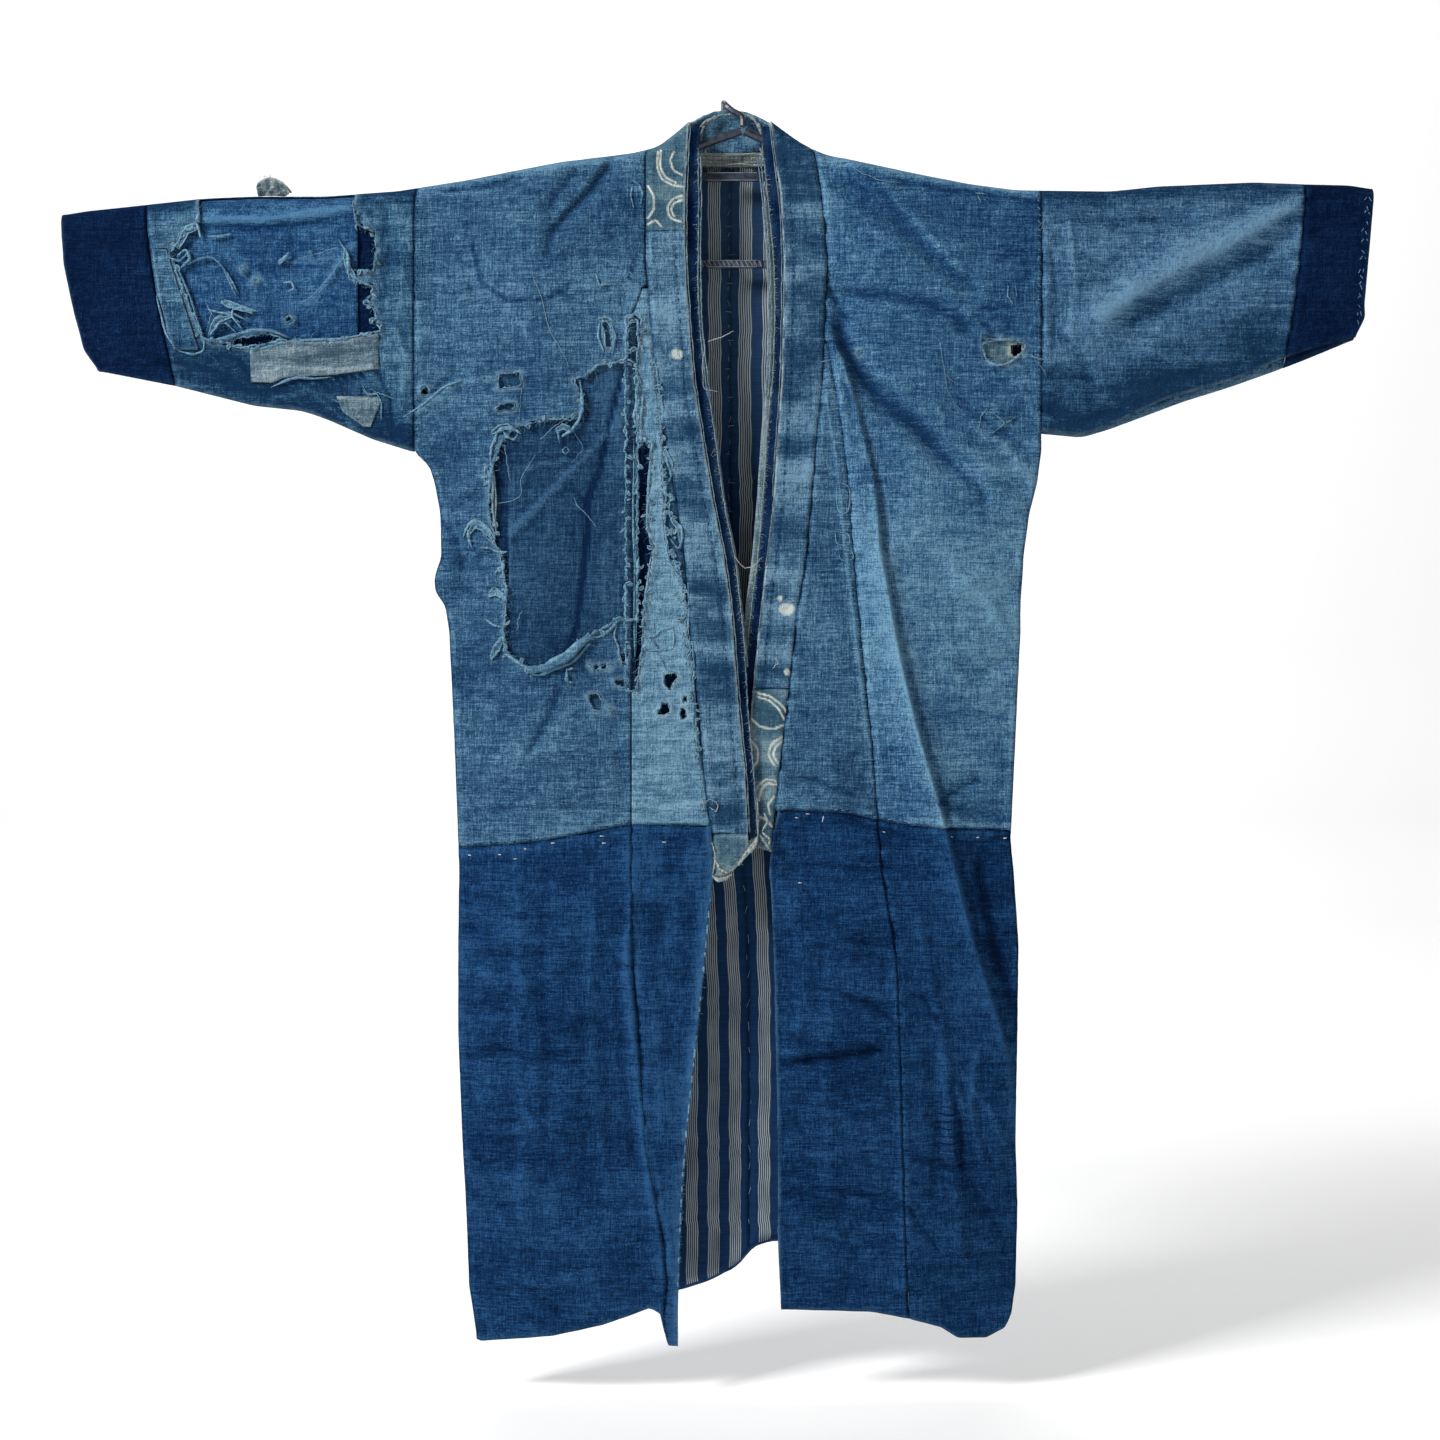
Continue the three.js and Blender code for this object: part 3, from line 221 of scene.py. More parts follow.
CREASES_LEFT = [
    ((66, -770, 100, -764, 140, -772, 160, -768), (3, 8), -0.9, -0.3),
    ((64, -850, 96, -842, 130, -852), (7, 3), 0.9, 0.25),
    ((70, -940, 100, -950, 140, -944), (3, 7), -0.9, -0.3),
    ((64, -1050, 100, -1060, 150, -1050), (7, 3), 0.9, 0.22),
    ((90, -1140, 130, -1150, 170, -1140), (3, 7), -0.8, -0.25),
    ((186, -800, 206, -880, 216, -960, 222, -1060), (8, 3), 1.1, 0.2),
    ((192, -1060, 230, -1070, 268, -1062), (3, 7), -0.9, -0.3),
    ((240, -980, 262, -1010, 282, -1050), (7, 3), 1.0, 0.25),
    ((250, -1090, 270, -1120, 284, -1160), (3, 8), -0.9, -0.3),
    ((172, -860, 178, -960, 182, -1080, 184, -1190), (3, 9), 1.1, 0.25),
    ((200, -1180, 240, -1188, 276, -1180), (5, 3), 0.8, 0.25),
    ((100, -780, 106, -880, 100, -980, 104, -1100), (9, 5), 0.7, 0.12),
    ((117, -261, 129, -303, 140, -346, 149, -383, 153, -420, 155, -454, 164, -496, 170, -537, 180, -587,
       190, -626, 201, -664, 213, -704, 228, -760, 248, -843, 268, -902, 284, -955, 294, -1041), 3.2,
       1.6, 0.4), ((256, -770, 272, -850, 292, -910, 304, -985), 7, -2.5, -0.45),
    ((116, -229, 129, -264, 144, -285, 162, -305, 189, -325, 225, -363, 262, -398), 6.5, -2.6, -0.5),
    ((103, -186, 116, -212, 124, -222), 4, -1.3, -0.35),
    ((123, -194, 160, -199, 199, -204, 229, -214, 242, -229), 5.5, -1.6, -0.45),
    ((125, -70, 150, -84, 178, -125, 223, -170, 248, -188), 6, -1.5, -0.35),
    ((118, -62, 160, -92, 205, -140, 240, -176), 5, 1.3, 0.2),
    ((178, -86, 225, -92, 270, -96, 319, -104), 4.5, -1.2, -0.5),
    ((148, -72, 200, -80, 262, -88, 315, -94), 5, 0.9, 0.3),
    ((215, -352, 240, -378, 266, -398, 300, -408), 6, 1.5, 0.15),
    ((240, -360, 270, -384, 312, -394), 4, -1.2, -0.3), ((275, -160, 300, -152), 3, -0.9, -0.4),
    ((262, -225, 276, -250), 4, -1.2, -0.35), ((260, -210, 285, -208), 3.5, -1, -0.4),
    ((215, -705, 235, -692, 255, -683), 4.5, -1.8, -0.4),
    ((218, -708, 250, -716, 289, -723), 5, -1.5, -0.3),
    ((65, -680, 89, -681, 110, -692, 128, -697), 3, -1.4, -0.5),
    ((70, -700, 100, -706, 140, -704), 7, 1, 0.1), ((95, -909, 140, -905, 165, -912), 6, -1.4, -0.2),
    ((85, -962, 120, -962, 155, -955), 6, -1.4, -0.2), ((90, -1010, 130, -1020, 160, -1008), 8, 1.2, 0.1),
    ((200, -880, 222, -960, 232, -1060, 236, -1150), 9, 2, 0.12),
    ((210, -900, 216, -1000, 214, -1100), 8, -1.4, -0.12),
    ((117, -261, 129, -303, 149, -383, 155, -454, 170, -537, 190, -626, 213, -704, 248, -843, 284, -955,
       294, -1041), (2.5, 30), 2.2, 0.0),
    ((122, -290, 140, -340, 157, -410, 163, -470, 178, -545, 199, -630, 223, -715, 256, -840), 4.5,
       -1.2, -0.3), ((125, -66, 178, -125, 223, -170, 248, -188), (24, 3), 1.6, 0.1),
    ((126, -240, 150, -276, 199, -318, 236, -352, 270, -386), (16, 5), 1.6, 0.12),
    ((180, -1140, 230, -1150, 280, -1150), 9, 1.1, 0.1),
    ((100, -1110, 140, -1120, 172, -1110), 9, -1, -0.1), ((70, -800, 80, -880, 72, -960), 9, 1, 0.06),
    ((290, -560, 262, -575, 240, -570), 8, -1.2, -0.15), ((292, -480, 262, -474, 235, -490), 8, 1.1, 0.1),
    ((330, -274, 369, -279), 4, -1.5, -0.5), ((322, -310, 360, -322, 400, -312), 6, -1.6, -0.45),
    ((575, -105, 540, -128, 490, -155, 441, -179, 381, -218), (6, 22), 1.6, 0.42),
    ((572, -134, 520, -166, 470, -192, 410, -222), (8, 14), -1.0, -0.4),
    ((335, -230, 360, -260, 372, -300), (5, 9), -0.9, -0.3),
    ((345, -120, 352, -180, 348, -240), 3, 0.7, 0.35),
    ((400, -240, 450, -262, 500, -262), (9, 5), 0.8, 0.2),
    ((420, -120, 470, -126, 520, -112), (7, 4), -0.6, -0.25),
    ((328, -150, 334, -200, 330, -250), 2.6, -0.8, -0.4),
    ((380, -290, 430, -284, 480, -270), (4, 8), -0.8, -0.35),
    ((102, -300, 112, -360, 120, -440, 134, -560, 150, -690), (2, 3), 0.6, 0.4),
    ((140, -130, 190, -160, 240, -150), (8, 5), 0.6, 0.1),
    ((250, -330, 286, -352, 312, -384), (8, 4), 1.0, 0.25),
    ((236, -300, 262, -322, 300, -346), (3, 7), -0.8, -0.3),
    ((226, -470, 262, -500, 286, -540), (9, 4), 0.7, 0.12),
    ((200, -620, 250, -612, 286, -622), (3, 6), -0.6, -0.25),
    ((180, -560, 240, -552, 288, -560), (6, 3), 0.6, 0.2),
    ((60, -720, 120, -724, 180, -738), (5, 3), -0.9, -0.3),
    ((186, -722, 230, -726, 286, -728), (3, 5), 0.9, 0.25),
    ((330, -120, 400, -124, 470, -112), 6, -0.9, -0.25),
    ((322, -180, 370, -176, 410, -186), 6, 0.9, 0.12), ((540, -200, 500, -226, 470, -234), 7, 0.9, 0.1),
    ((62, -967, 96, -962, 130, -958, 158, -952), (2.2, 4.5), -1.5, -0.5),
    ((60, -958, 100, -953, 150, -944), (5, 2.5), 1.0, 0.3),
    ((82, -888, 120, -896, 150, -908, 172, -926), (2.4, 5), -1.2, -0.4),
    ((96, -850, 128, -842, 166, -848), (4.5, 2.2), -1.0, -0.34),
    ((60, -1096, 108, -1090, 148, -1098, 180, -1106), (2.4, 5), -1.1, -0.36),
    ((186, -1112, 200, -1134, 214, -1152), 3, -1.1, -0.36),
    ((228, -990, 238, -1030, 240, -1076), (3, 6), -1.3, -0.4),
    ((252, -960, 246, -1010, 256, -1060), (6, 3), 1.2, 0.3),
    ((64, -1040, 90, -1034, 118, -1040), 2.6, 0.9, 0.3),
    ((200, -900, 216, -926, 240, -938), (2.4, 5), -1.1, -0.36),
]
CREASES_UNDER = [
    ((-116, -335, -160, -380, -190, -412, -216, -435), (6, 3), 1.0, 0.7),
    ((-100, -322, -116, -335), 5, 0.7, 0.5), ((-155, -361, -185, -368, -214, -373), (4, 2), 0.6, 0.5),
    ((-216, -400, -218, -470, -214, -540), 2, -0.4, -0.8),
    ((-118, -450, -120, -500, -112, -548), 5, 0.3, 0.2),
    ((-154, -388, -176, -402, -192, -428), 2.2, -0.3, -0.45),
    ((-101, -273, -116, -337, -122, -370, -135, -404, -136, -435, -140, -478, -146, -528, -153, -552,
       -164, -591), (1.6, 4), -0.9, -1.3), ((-154, -388, -137, -408, -136, -463), 3, -0.5, -0.4),
    ((-212, -380, -214, -440, -215, -540), 2.5, 0.6, 0.5),
    ((-120, -300, -104, -330, -98, -380), 7, 1, 0.1),
]
CREASES_BACK = [
    ((-148, -64, -176, -190, -182, -330, -160, -520), (20, 11), 4.6, 0.22),
    ((-96, -90, -108, -250, -92, -420), (9, 15), 2.8, 0.16),
    ((150, -66, 146, -240, 172, -400, 190, -560), (12, 22), 4.4, 0.2),
    ((84, -92, 70, -260, 82, -450, 104, -640), (13, 9), 3.0, 0.16),
    ((-300, -318, -236, -388, -196, -500, -180, -690), (16, 9), 4.8, 0.26),
    ((-318, -270, -250, -300, -190, -310), 9, 2.4, 0.18),
    ((296, -330, 238, -410, 214, -540, 206, -700), (8, 15), 4.6, 0.26),
    ((312, -262, 246, -286, 180, -276), 8, 2.2, 0.16),
    ((-232, -620, -226, -840, -236, -1120), (12, 18), 3.8, 0.2),
    ((-132, -700, -124, -900, -138, -1130), (17, 10), 4.2, 0.22),
    ((-40, -560, -50, -820, -44, -1100), 12, 2.6, 0.16),
    ((70, -720, 64, -930, 76, -1140), (10, 17), 3.8, 0.2),
    ((168, -680, 176, -900, 170, -1120), (15, 10), 4.0, 0.22),
    ((-560, -132, -460, -196, -352, -268), (10, 15), 4.2, 0.26),
    ((-540, -226, -450, -240, -348, -214), 8, 2.2, 0.16),
    ((560, -140, 450, -190, 350, -262), (14, 9), 4.4, 0.26),
    ((556, -236, 440, -258, 346, -206), 8, 2.2, 0.16),
]


def path_distance(path, x, z):
    """Distance from each point to the nearest of the path's straight pieces."""
    return np.abs(signed_distance(path, x, z))


def signed_distance(path, x, z):
    """The same distance, positive on the left of the path's direction and negative on its right."""
    best = np.full(np.shape(x), 1e9)
    for (ax, az), (cx, cz) in zip(path, path[1:]):
        bx, bz = cx - ax, cz - az
        t = np.clip(((x - ax) * bx + (z - az) * bz) / (bx * bx + bz * bz), 0, 1)
        away = np.hypot(x - ax - bx * t, z - az - bz * t)
        side = np.where(bx * (z - az) > bz * (x - ax), 1.0, -1.0)
        best = np.where(away < np.abs(best), away * side, best)
    return best


def run_of(points):
    """The length of the way to each point: 0 at the first, then the sum of the straight steps."""
    return np.concatenate([[0], np.cumsum(np.linalg.norm(np.diff(points, axis=0), axis=1))])


def drawn(points, count):
    """The given points joined by a soft curve of `count` points: straight steps, then averaged.
    The points are pairs, or one run of numbers."""
    points = np.array(points, dtype=float).reshape(-1, 2)
    length = run_of(points)
    at = np.linspace(0, length[-1], count)
    line = np.stack([np.interp(at, length, points[:, k]) for k in (0, 1)], axis=1)
    for _ in range(count // 6):
        line[1:-1] = (line[:-2] + 2 * line[1:-1] + line[2:]) / 4
    return line


def noise(x, z, wide, tall, seed):
    """Smooth noise from -1 to 1: random heights on a lattice of cells wide by tall, blended between them."""
    lattice = np.random.default_rng(seed).uniform(-1, 1, (61, 61))
    u, v = np.asarray(x) / wide + 23.1, np.asarray(z) / tall + 47.7
    i, j = np.floor(u).astype(int), np.floor(v).astype(int)
    s, t = u - i, v - j
    s, t = s * s * (3 - 2 * s), t * t * (3 - 2 * t)
    i, j, k, n = i % 61, j % 61, (i + 1) % 61, (j + 1) % 61
    low = lattice[i, j] * (1 - s) + lattice[k, j] * s
    high = lattice[i, n] * (1 - s) + lattice[k, n] * s
    return low * (1 - t) + high * t


def ramp(value, low, high):
    """0 below low, 1 above high, smooth between."""
    t = np.clip((value - low) / (high - low), 0, 1)
    return t * t * (3 - 2 * t)


def swell(x, z):
    """0 on the line where front and back are sewn, nearly 1 well away from it."""
    near = np.where(x < MIDDLE, path_distance(SEAM_RIGHT, x, z), path_distance(SEAM_LEFT, x, z))
    return 1 - np.exp(-near / SEAM_EASE)


def vault(x, z, inset=0.0):
    """The fold over the shoulder: a quarter of an ellipse, 0 at its top and 1 a fold's radius below."""
    below = np.clip((shoulder(x) - inset - z) / VAULT, 0, 1)
    return np.sqrt(1 - (1 - below) ** 2)


def pairs(run):
    """The points (x, z) of a path that is written as one run of numbers."""
    return list(zip(run[::2], run[1::2]))


def creased(table, x, z):
    """(height, tone) of a table of creases: a bell curve across each path, at times steeper on one side. The
    tone is painted shade in a trough and painted highlight and worn paleness on a ridge.
    """
    height, tone = np.zeros(np.shape(x)), np.zeros(np.shape(x))
    for path, width, rise, pale in table:
        gap = signed_distance(pairs(path), x, z)
        on_left, on_right = width if isinstance(width, tuple) else (width, width)
        across = np.exp(-((gap / np.where(gap > 0, on_left, on_right)) ** 2))
        height += rise * across
        tone += 1.25 * pale * across ** 1.8
    return height, tone


def depth(x, z, inset=0.0):
    """Distance from the hanger's plane to the cloth's outer face, or to a layer inset under it."""
    full = BODY_FULL + (SLEEVE_FULL - BODY_FULL) * ramp(np.abs(x - MIDDLE), 170, 330)
    return np.maximum(0, CLOTH + full * swell(x, z) - inset) * vault(x, z, inset)


def tuck(x, z):
    """How far the left front sinks behind the right one near the collar's foot."""
    return TUCK * (1 - ramp(x, 45, 130)) * ramp(-z, 440, 560) * (1 - ramp(-z, 860, 1100))


LAYERED = [(-245, -60, -645, -205), (-575, -325, -395, -90), (244, 314, -280, -230)]


def layered(x, z):
    """1 where another layer lies close behind or on the cloth, fading out over 18 mm round it."""
    result = np.zeros(np.shape(x))
    for low_x, high_x, low_z, high_z in LAYERED:
        across = ramp(x, low_x - 18, low_x) * (1 - ramp(x, high_x, high_x + 18))
        result = np.maximum(result, across * ramp(z, low_z - 18, low_z) * (1 - ramp(z, high_z, high_z + 18)))
    return result


# Surfaces: each gives y and the tone at (x, z)

def front(inset=0.0, lift=0.0, creases=(), left=False, wrinkle=0.55, seed=1):
    """The front's face: the swelling, the large folds, the creases and a fine crumple, lifted or inset. Its
    tone is painted light and shade along the folds, creases and crumple.
    """
    def at(x, z):
        height, tone = creased(FOLDS, x, z)
        fine, pale = creased(creases, x, z)
        crumple = wrinkle * (noise(x, z, 34, 26, seed) + 0.6 * noise(x, z, 13, 11, seed + 1)
                             + 0.35 * noise(x, z, 6.5, 5, seed + 2)) * (1 + 0.9 * ramp(-z, 740, 800))
        fine = np.clip(2.3 * fine + crumple, -7.5 + 6.1 * layered(x, z), 9)
        near = swell(x, z)
        y = -depth(x, z, inset) - (height * near + fine * np.minimum(1, near * 3)) * vault(x, z, inset)
        if left:
            y = y + tuck(x, z)
        return y - lift * vault(x, z), tone + pale + 0.12 * crumple
    return at


def back(inset=0.0, wrinkle=0.9, seed=40):
    """The back's face: the swelling, soft folds that hang from the shoulders and the back's creases. Its tone
    is paler where the folds, creases and crumple stand out, as painted highlight.
    """
    def at(x, z):
        rise, pale = creased(CREASES_BACK, x, z)
        hang = 2.2 * noise(x, z * 0.16, 42, 60, seed) * ramp(-z, 160, 420)
        crumple = wrinkle * (noise(x, z, 40, 30, seed + 1) + 0.5 * noise(x, z, 15, 12, seed + 2))
        near = swell(x, z)
        height = np.clip(0.6 * hang + crumple + 1.25 * rise, -2.2, 8) * near
        if inset:
            height = 0.0
        return depth(x, z, inset) + height * vault(x, z, inset), 0.12 * crumple + 0.05 * hang + pale
    return at


# Meshes

def build(name, points, faces, material, values=None, thick=0.0):
    """A mesh object of the object: points in millimetres from the hanger's plane, with point values."""
    points = np.asarray(points, dtype=float) * MM
    points[:, 1] += HANGER_Y * MM
    mesh = bpy.data.meshes.new(name)
    mesh.from_pydata(points.tolist(), [], np.asarray(faces).tolist())
    for key, value in (values or {}).items():
        layer = mesh.attributes.new(key, "FLOAT", "POINT")
        layer.data.foreach_set("value", np.asarray(value, dtype=np.float32).ravel())
    mesh.polygons.foreach_set("use_smooth", np.full(len(mesh.polygons), True))
    obj = bpy.data.objects.new(name, mesh)
    bpy.context.scene.collection.objects.link(obj)
    mesh.materials.append(material)
    if thick:
        shell = obj.modifiers.new("thickness", "SOLIDIFY")
        shell.thickness = thick * MM
        shell.offset = -1
    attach(obj, "root")
    return obj


def grid_corners(rows, columns):
    """The number of each cell's first corner in a grid whose points are counted row by row."""
    return (np.arange(rows - 1)[:, None] * columns + np.arange(columns - 1)[None, :]).ravel()


def nearest_on(outline, x, z):
    """(distance, nearest x, nearest z, whether inside) for a closed outline."""
    best = np.full(x.shape, 1e9)
    nx, nz = np.zeros(x.shape), np.zeros(x.shape)
    odd = np.zeros(x.shape, dtype=bool)
    for (ax, az), (cx, cz) in zip(outline, outline[1:] + outline[:1]):
        bx, bz = cx - ax, cz - az
        t = np.clip(((x - ax) * bx + (z - az) * bz) / (bx * bx + bz * bz + 1e-9), 0, 1)
        px, pz = ax + bx * t, az + bz * t
        away = np.hypot(x - px, z - pz)
        closer = away < best
        best, nx, nz = np.where(closer, away, best), np.where(closer, px, nx), np.where(closer, pz, nz)
        crosses = ((az > z) != (cz > z)) & (x < ax + bx * (z - az) / (bz if bz else 1e-9))
        odd ^= crosses
    return best, nx, nz, odd


def roughen(outline, seed, spacing=2.2, rough=1.3):
    """The outline cut into short steps and shaken, so a torn edge is ragged."""
    points = np.array(outline + outline[:1], dtype=float)
    length = np.concatenate([[0], np.cumsum(np.hypot(*np.diff(points, axis=0).T))])
    at = np.arange(0, length[-1], spacing)
    ring = np.stack([np.interp(at, length, points[:, k]) for k in (0, 1)], axis=1)
    random = np.random.default_rng(seed)
    return [tuple(p) for p in ring + random.normal(0, rough * 0.5, ring.shape)]


def torn(outlines, seed):
    """Each outline made ragged, with a seed of its own."""
    return [roughen(outline, seed * 31 + index) for index, outline in enumerate(outlines)]


def disc(x, z, radius, sides=9):
    """A small round outline: `sides` points at one distance from its middle."""
    angle = np.arange(sides) * 2 * np.pi / sides
    return [(float(x + radius * np.cos(a)), float(z + radius * np.sin(a))) for a in angle]


def panel(node, slot, material, left, right, top, bottom, face, step=3.0, vaulted=False, seams="",
          holes=(), facing=1, thick=SHELL, hems="", extra=None, seed=5,
          held_on=("hanger_arm_right",), curl=1.0, seam_painted_shade=1.0):
    """A sewn piece: a grid between the edges left(z), right(z), top(x) and bottom(x), raised to the face.
    Torn outlines are cut out of it, its seams sink in and pucker, with painted shade in the seam line and
    painted light on the puckers, and its hems are a little thicker."""
    name = "robe_" + node
    u_count = max(3, int(SPAN[node] / step))
    middle = 0.5 * (left(np.array(START_LEVEL)) + right(np.array(START_LEVEL)))
    tall = float(np.abs(top(middle) - bottom(middle)))
    row = ROW_STRETCH * step
    count = max(3, int(tall / row))
    rows = np.linspace(0, 1, count + 1)
    if vaulted:
        close = np.array([0, 0.4, 1.1, 2.2, 3.8, 6, 8.6, 11.4])
        rows = np.concatenate([close, np.linspace(VAULT, tall, max(3, int((tall - VAULT) / row)))]) / tall
    u, v = np.meshgrid(np.linspace(0, 1, u_count + 1), rows)
    x, z = np.zeros(u.shape), np.full(u.shape, START_LEVEL)
    for _ in range(SETTLE_ROUNDS):
        x = left(z) + (right(z) - left(z)) * u
        z = top(x) + (bottom(x) - top(x)) * v
    gone = np.zeros(x.shape)
    edge = np.full(x.shape, 1e3)
    for outline in holes:
        xs, zs = [p[0] for p in outline], [p[1] for p in outline]
        near = (x > min(xs) - 9) & (x < max(xs) + 9) & (z > min(zs) - 9) & (z < max(zs) + 9)
        if not near.any():
            continue
        away, px, pz, within = nearest_on(outline, x[near], z[near])
        signed = np.where(within, -away, away)
        snap = away < 0.5 * step
        xn, zn = x[near], z[near]
        xn[snap], zn[snap] = px[snap], pz[snap]
        signed[snap] = 0
        x[near], z[near] = xn, zn
        gone[near] = np.minimum(gone[near], np.minimum(signed, 0))
        edge[near] = np.minimum(edge[near], np.abs(signed))
    y, tone = face(x, z)
    wear_and_painted_light = 0.9 * np.exp(-((edge / 2.6) ** 2))
    lift = curl * 1.5 * np.exp(-((edge / 3.2) ** 2)) * (0.6 + 0.7 * noise(x, z, 9, 9, seed + 7))
    gaps = {"l": x - left(z), "r": right(z) - x, "t": top(x) - z, "b": z - bottom(x)}
    # Seams: painted shade along the sunk seam line, a painted highlight on the ridge beside it, and painted
    # light and shade that follow the puckers.
    for key in seams:
        gap = np.abs(gaps[key])
        ripple = noise(x, z, 10 if key in "tb" else 34, 8 if key in "lr" else 34, seed + 3)
        lift += 0.6 * np.exp(-(((gap - 6) / 3) ** 2)) - np.exp(-((gap / 2.0) ** 2))
        lift += 1.3 * np.exp(-gap / 12) * ripple
        tone = tone - seam_painted_shade * (0.55 + 0.3 * ripple) * np.exp(-((gap / 1.5) ** 2))
        tone = tone + 0.2 * np.exp(-(((gap - 4) / 2.5) ** 2))
        tone = tone + 0.35 * ripple * np.exp(-gap / 9)
    for key in hems:
        gap = np.abs(gaps[key])
        lift += 0.9 * np.exp(-((gap / 4.5) ** 2))
        wear_and_painted_light = np.maximum(wear_and_painted_light, 0.55 * np.exp(-((gap / 1.6) ** 2)) * (0.7 + 0.5 * noise(x, z, 7, 7, seed)))
    if extra:
        more, pale, worn = extra(x, z)
        lift, tone, wear_and_painted_light = lift + more, tone + pale, np.maximum(wear_and_painted_light, worn)
    y = y - facing * lift * vault(x, z)
    points = np.stack([x, y, z], axis=-1).reshape(-1, 3)
    columns = x.shape[1]
    a = grid_corners(x.shape[0], columns)
    faces = np.stack([a, a + columns, a + columns + 1, a + 1], axis=1)
    if facing < 0:
        faces = faces[:, ::-1]
    keep = gone.ravel()[faces].mean(axis=1) > -0.12 * step
    faces = faces[keep]
    used = np.unique(faces)
    index = np.zeros(len(points), dtype=int)
    index[used] = np.arange(len(used))
    values = {"tone": tone.ravel()[used], "wear_and_painted_light": wear_and_painted_light.ravel()[used]}
    obj = build(name, points[used], index[faces], material, values, thick)
    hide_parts(node)
    return obj


ON_SHEET = {}  # the separate pieces on each sheet
SPAN = {  # each piece's width in millimetres, for the number of columns in its grid
    "front_upper_right": 235, "front_upper_left": 232, "back_upper_right": 318, "back_upper_left": 314,
    "front_lower_right": 180, "front_lower_left": 140, "back_lower_right": 272, "back_lower_left": 292,
    "overlap_upper_right": 78, "overlap_upper_left": 103, "overlap_lower_right": 70,
    "overlap_lower_left": 130,
    "sleeve_right_front": 268, "sleeve_right_back": 268, "sleeve_left_front": 262, "sleeve_left_back": 262,
    "cuff_right_front": 88, "cuff_right_back": 88, "cuff_left_front": 72, "cuff_left_back": 72,
    "collar_right_dyed": 42, "collar_right": 42, "collar_right_end": 36, "collar_left": 44,
    "collar_left_dyed": 40, "collar_inner_right": 20, "collar_inner_left": 20, "lining_edge_right": 11,
    "lining_edge_left": 15, "lining_right": 304, "lining_left": 300, "neck_strip": 94,
    "under_front_right": 154, "under_overlap_right": 60, "under_sleeve_right": 202, "under_sleeve_deep": 174,
    "under_armhole_left": 58, "patch_beige_large": 130, "patch_beige_small": 42, "patch_cuff_side": 30,
}


# Materials

def linear(colour):
    """sRGB from 0 to 255 as linear light."""
    c = np.array(colour) / 255
    return (*np.where(c <= 0.04045, c / 12.92, ((c + 0.055) / 1.055) ** 2.4), 1.0)


class Shade:
    """A node material, with short ways to add nodes."""

    def __init__(self, name, roughness=0.93):
        """A new material with its surface shader and the object's own coordinates."""
        self.material = bpy.data.materials.new(name)
        self.material.use_nodes = True
        self.tree = self.material.node_tree
        self.surface = self.tree.nodes["Principled BSDF"]
        self.surface.inputs["Roughness"].default_value = roughness
        self.surface.inputs["Specular IOR Level"].default_value = 0.04
        self.coords = self.tree.nodes.new("ShaderNodeTexCoord").outputs["Object"]

    def put(self, socket, value):
        """Links another node's output to the socket, or sets the socket's own value."""
        if isinstance(value, bpy.types.NodeSocket):
            self.tree.links.new(value, socket)
        else:
            socket.default_value = value

    def math(self, operation, a, b=0.0, clamp=False):
        """One sum, product or other operation on a and b."""
        node = self.tree.nodes.new("ShaderNodeMath")
        node.operation = operation
        node.use_clamp = clamp
        self.put(node.inputs[0], a)
        self.put(node.inputs[1], b)
        return node.outputs[0]

    def stretched(self, sizes):
        """Object coordinates divided by a cell's size in millimetres along X, Y and Z."""
        node = self.tree.nodes.new("ShaderNodeMapping")
        node.vector_type = "POINT"
        node.inputs["Scale"].default_value = [1000 / s for s in sizes]
        self.put(node.inputs["Vector"], self.coords)
        return node.outputs[0]

    def noise(self, sizes, detail=2.0, rough=0.55):
        """Soft noise from 0 to 1 with cells of the given size in millimetres."""
        node = self.tree.nodes.new("ShaderNodeTexNoise")
        node.inputs["Scale"].default_value = 1.0
        node.inputs["Detail"].default_value = detail
        node.inputs["Roughness"].default_value = rough
        self.put(node.inputs["Vector"], self.stretched(sizes))
        return node.outputs["Fac"]

    def value(self, name):
        """The point value of that name."""
        node = self.tree.nodes.new("ShaderNodeAttribute")
        node.attribute_name = name
        return node.outputs["Fac"]

    def mix(self, factor, a, b):
        """Colour a where the factor is 0, b where it is 1."""
        node = self.tree.nodes.new("ShaderNodeMix")
        node.data_type = "RGBA"
        self.put(node.inputs["Factor"], factor)
        self.put(node.inputs["A"], a)
        self.put(node.inputs["B"], b)
        return node.outputs["Result"]

    def colours(self, factor, stops):
        """The factor read as a colour, blended between the stops."""
        node = self.tree.nodes.new("ShaderNodeValToRGB")
        elements = node.color_ramp.elements
        for index, (at, colour) in enumerate(stops):
            element = elements[index] if index < 2 else elements.new(at)
            element.position = at
            element.color = linear(colour)
        self.put(node.inputs["Fac"], factor)
        return node.outputs["Color"]

    def bump(self, height, strength, distance):
        """Relief from a height, `distance` millimetres deep."""
        node = self.tree.nodes.new("ShaderNodeBump")
        node.inputs["Strength"].default_value = strength
        node.inputs["Distance"].default_value = distance * MM
        self.put(node.inputs["Height"], height)
        self.put(self.surface.inputs["Normal"], node.outputs["Normal"])

    def total(self, parts):
        """The sum of (socket - 0.5) x weight, plus 0.5."""
        result = 0.5
        for socket, weight in parts:
            part = self.math("MULTIPLY", self.math("SUBTRACT", socket, 0.5), weight)
            result = self.math("ADD", result, part)
        return result


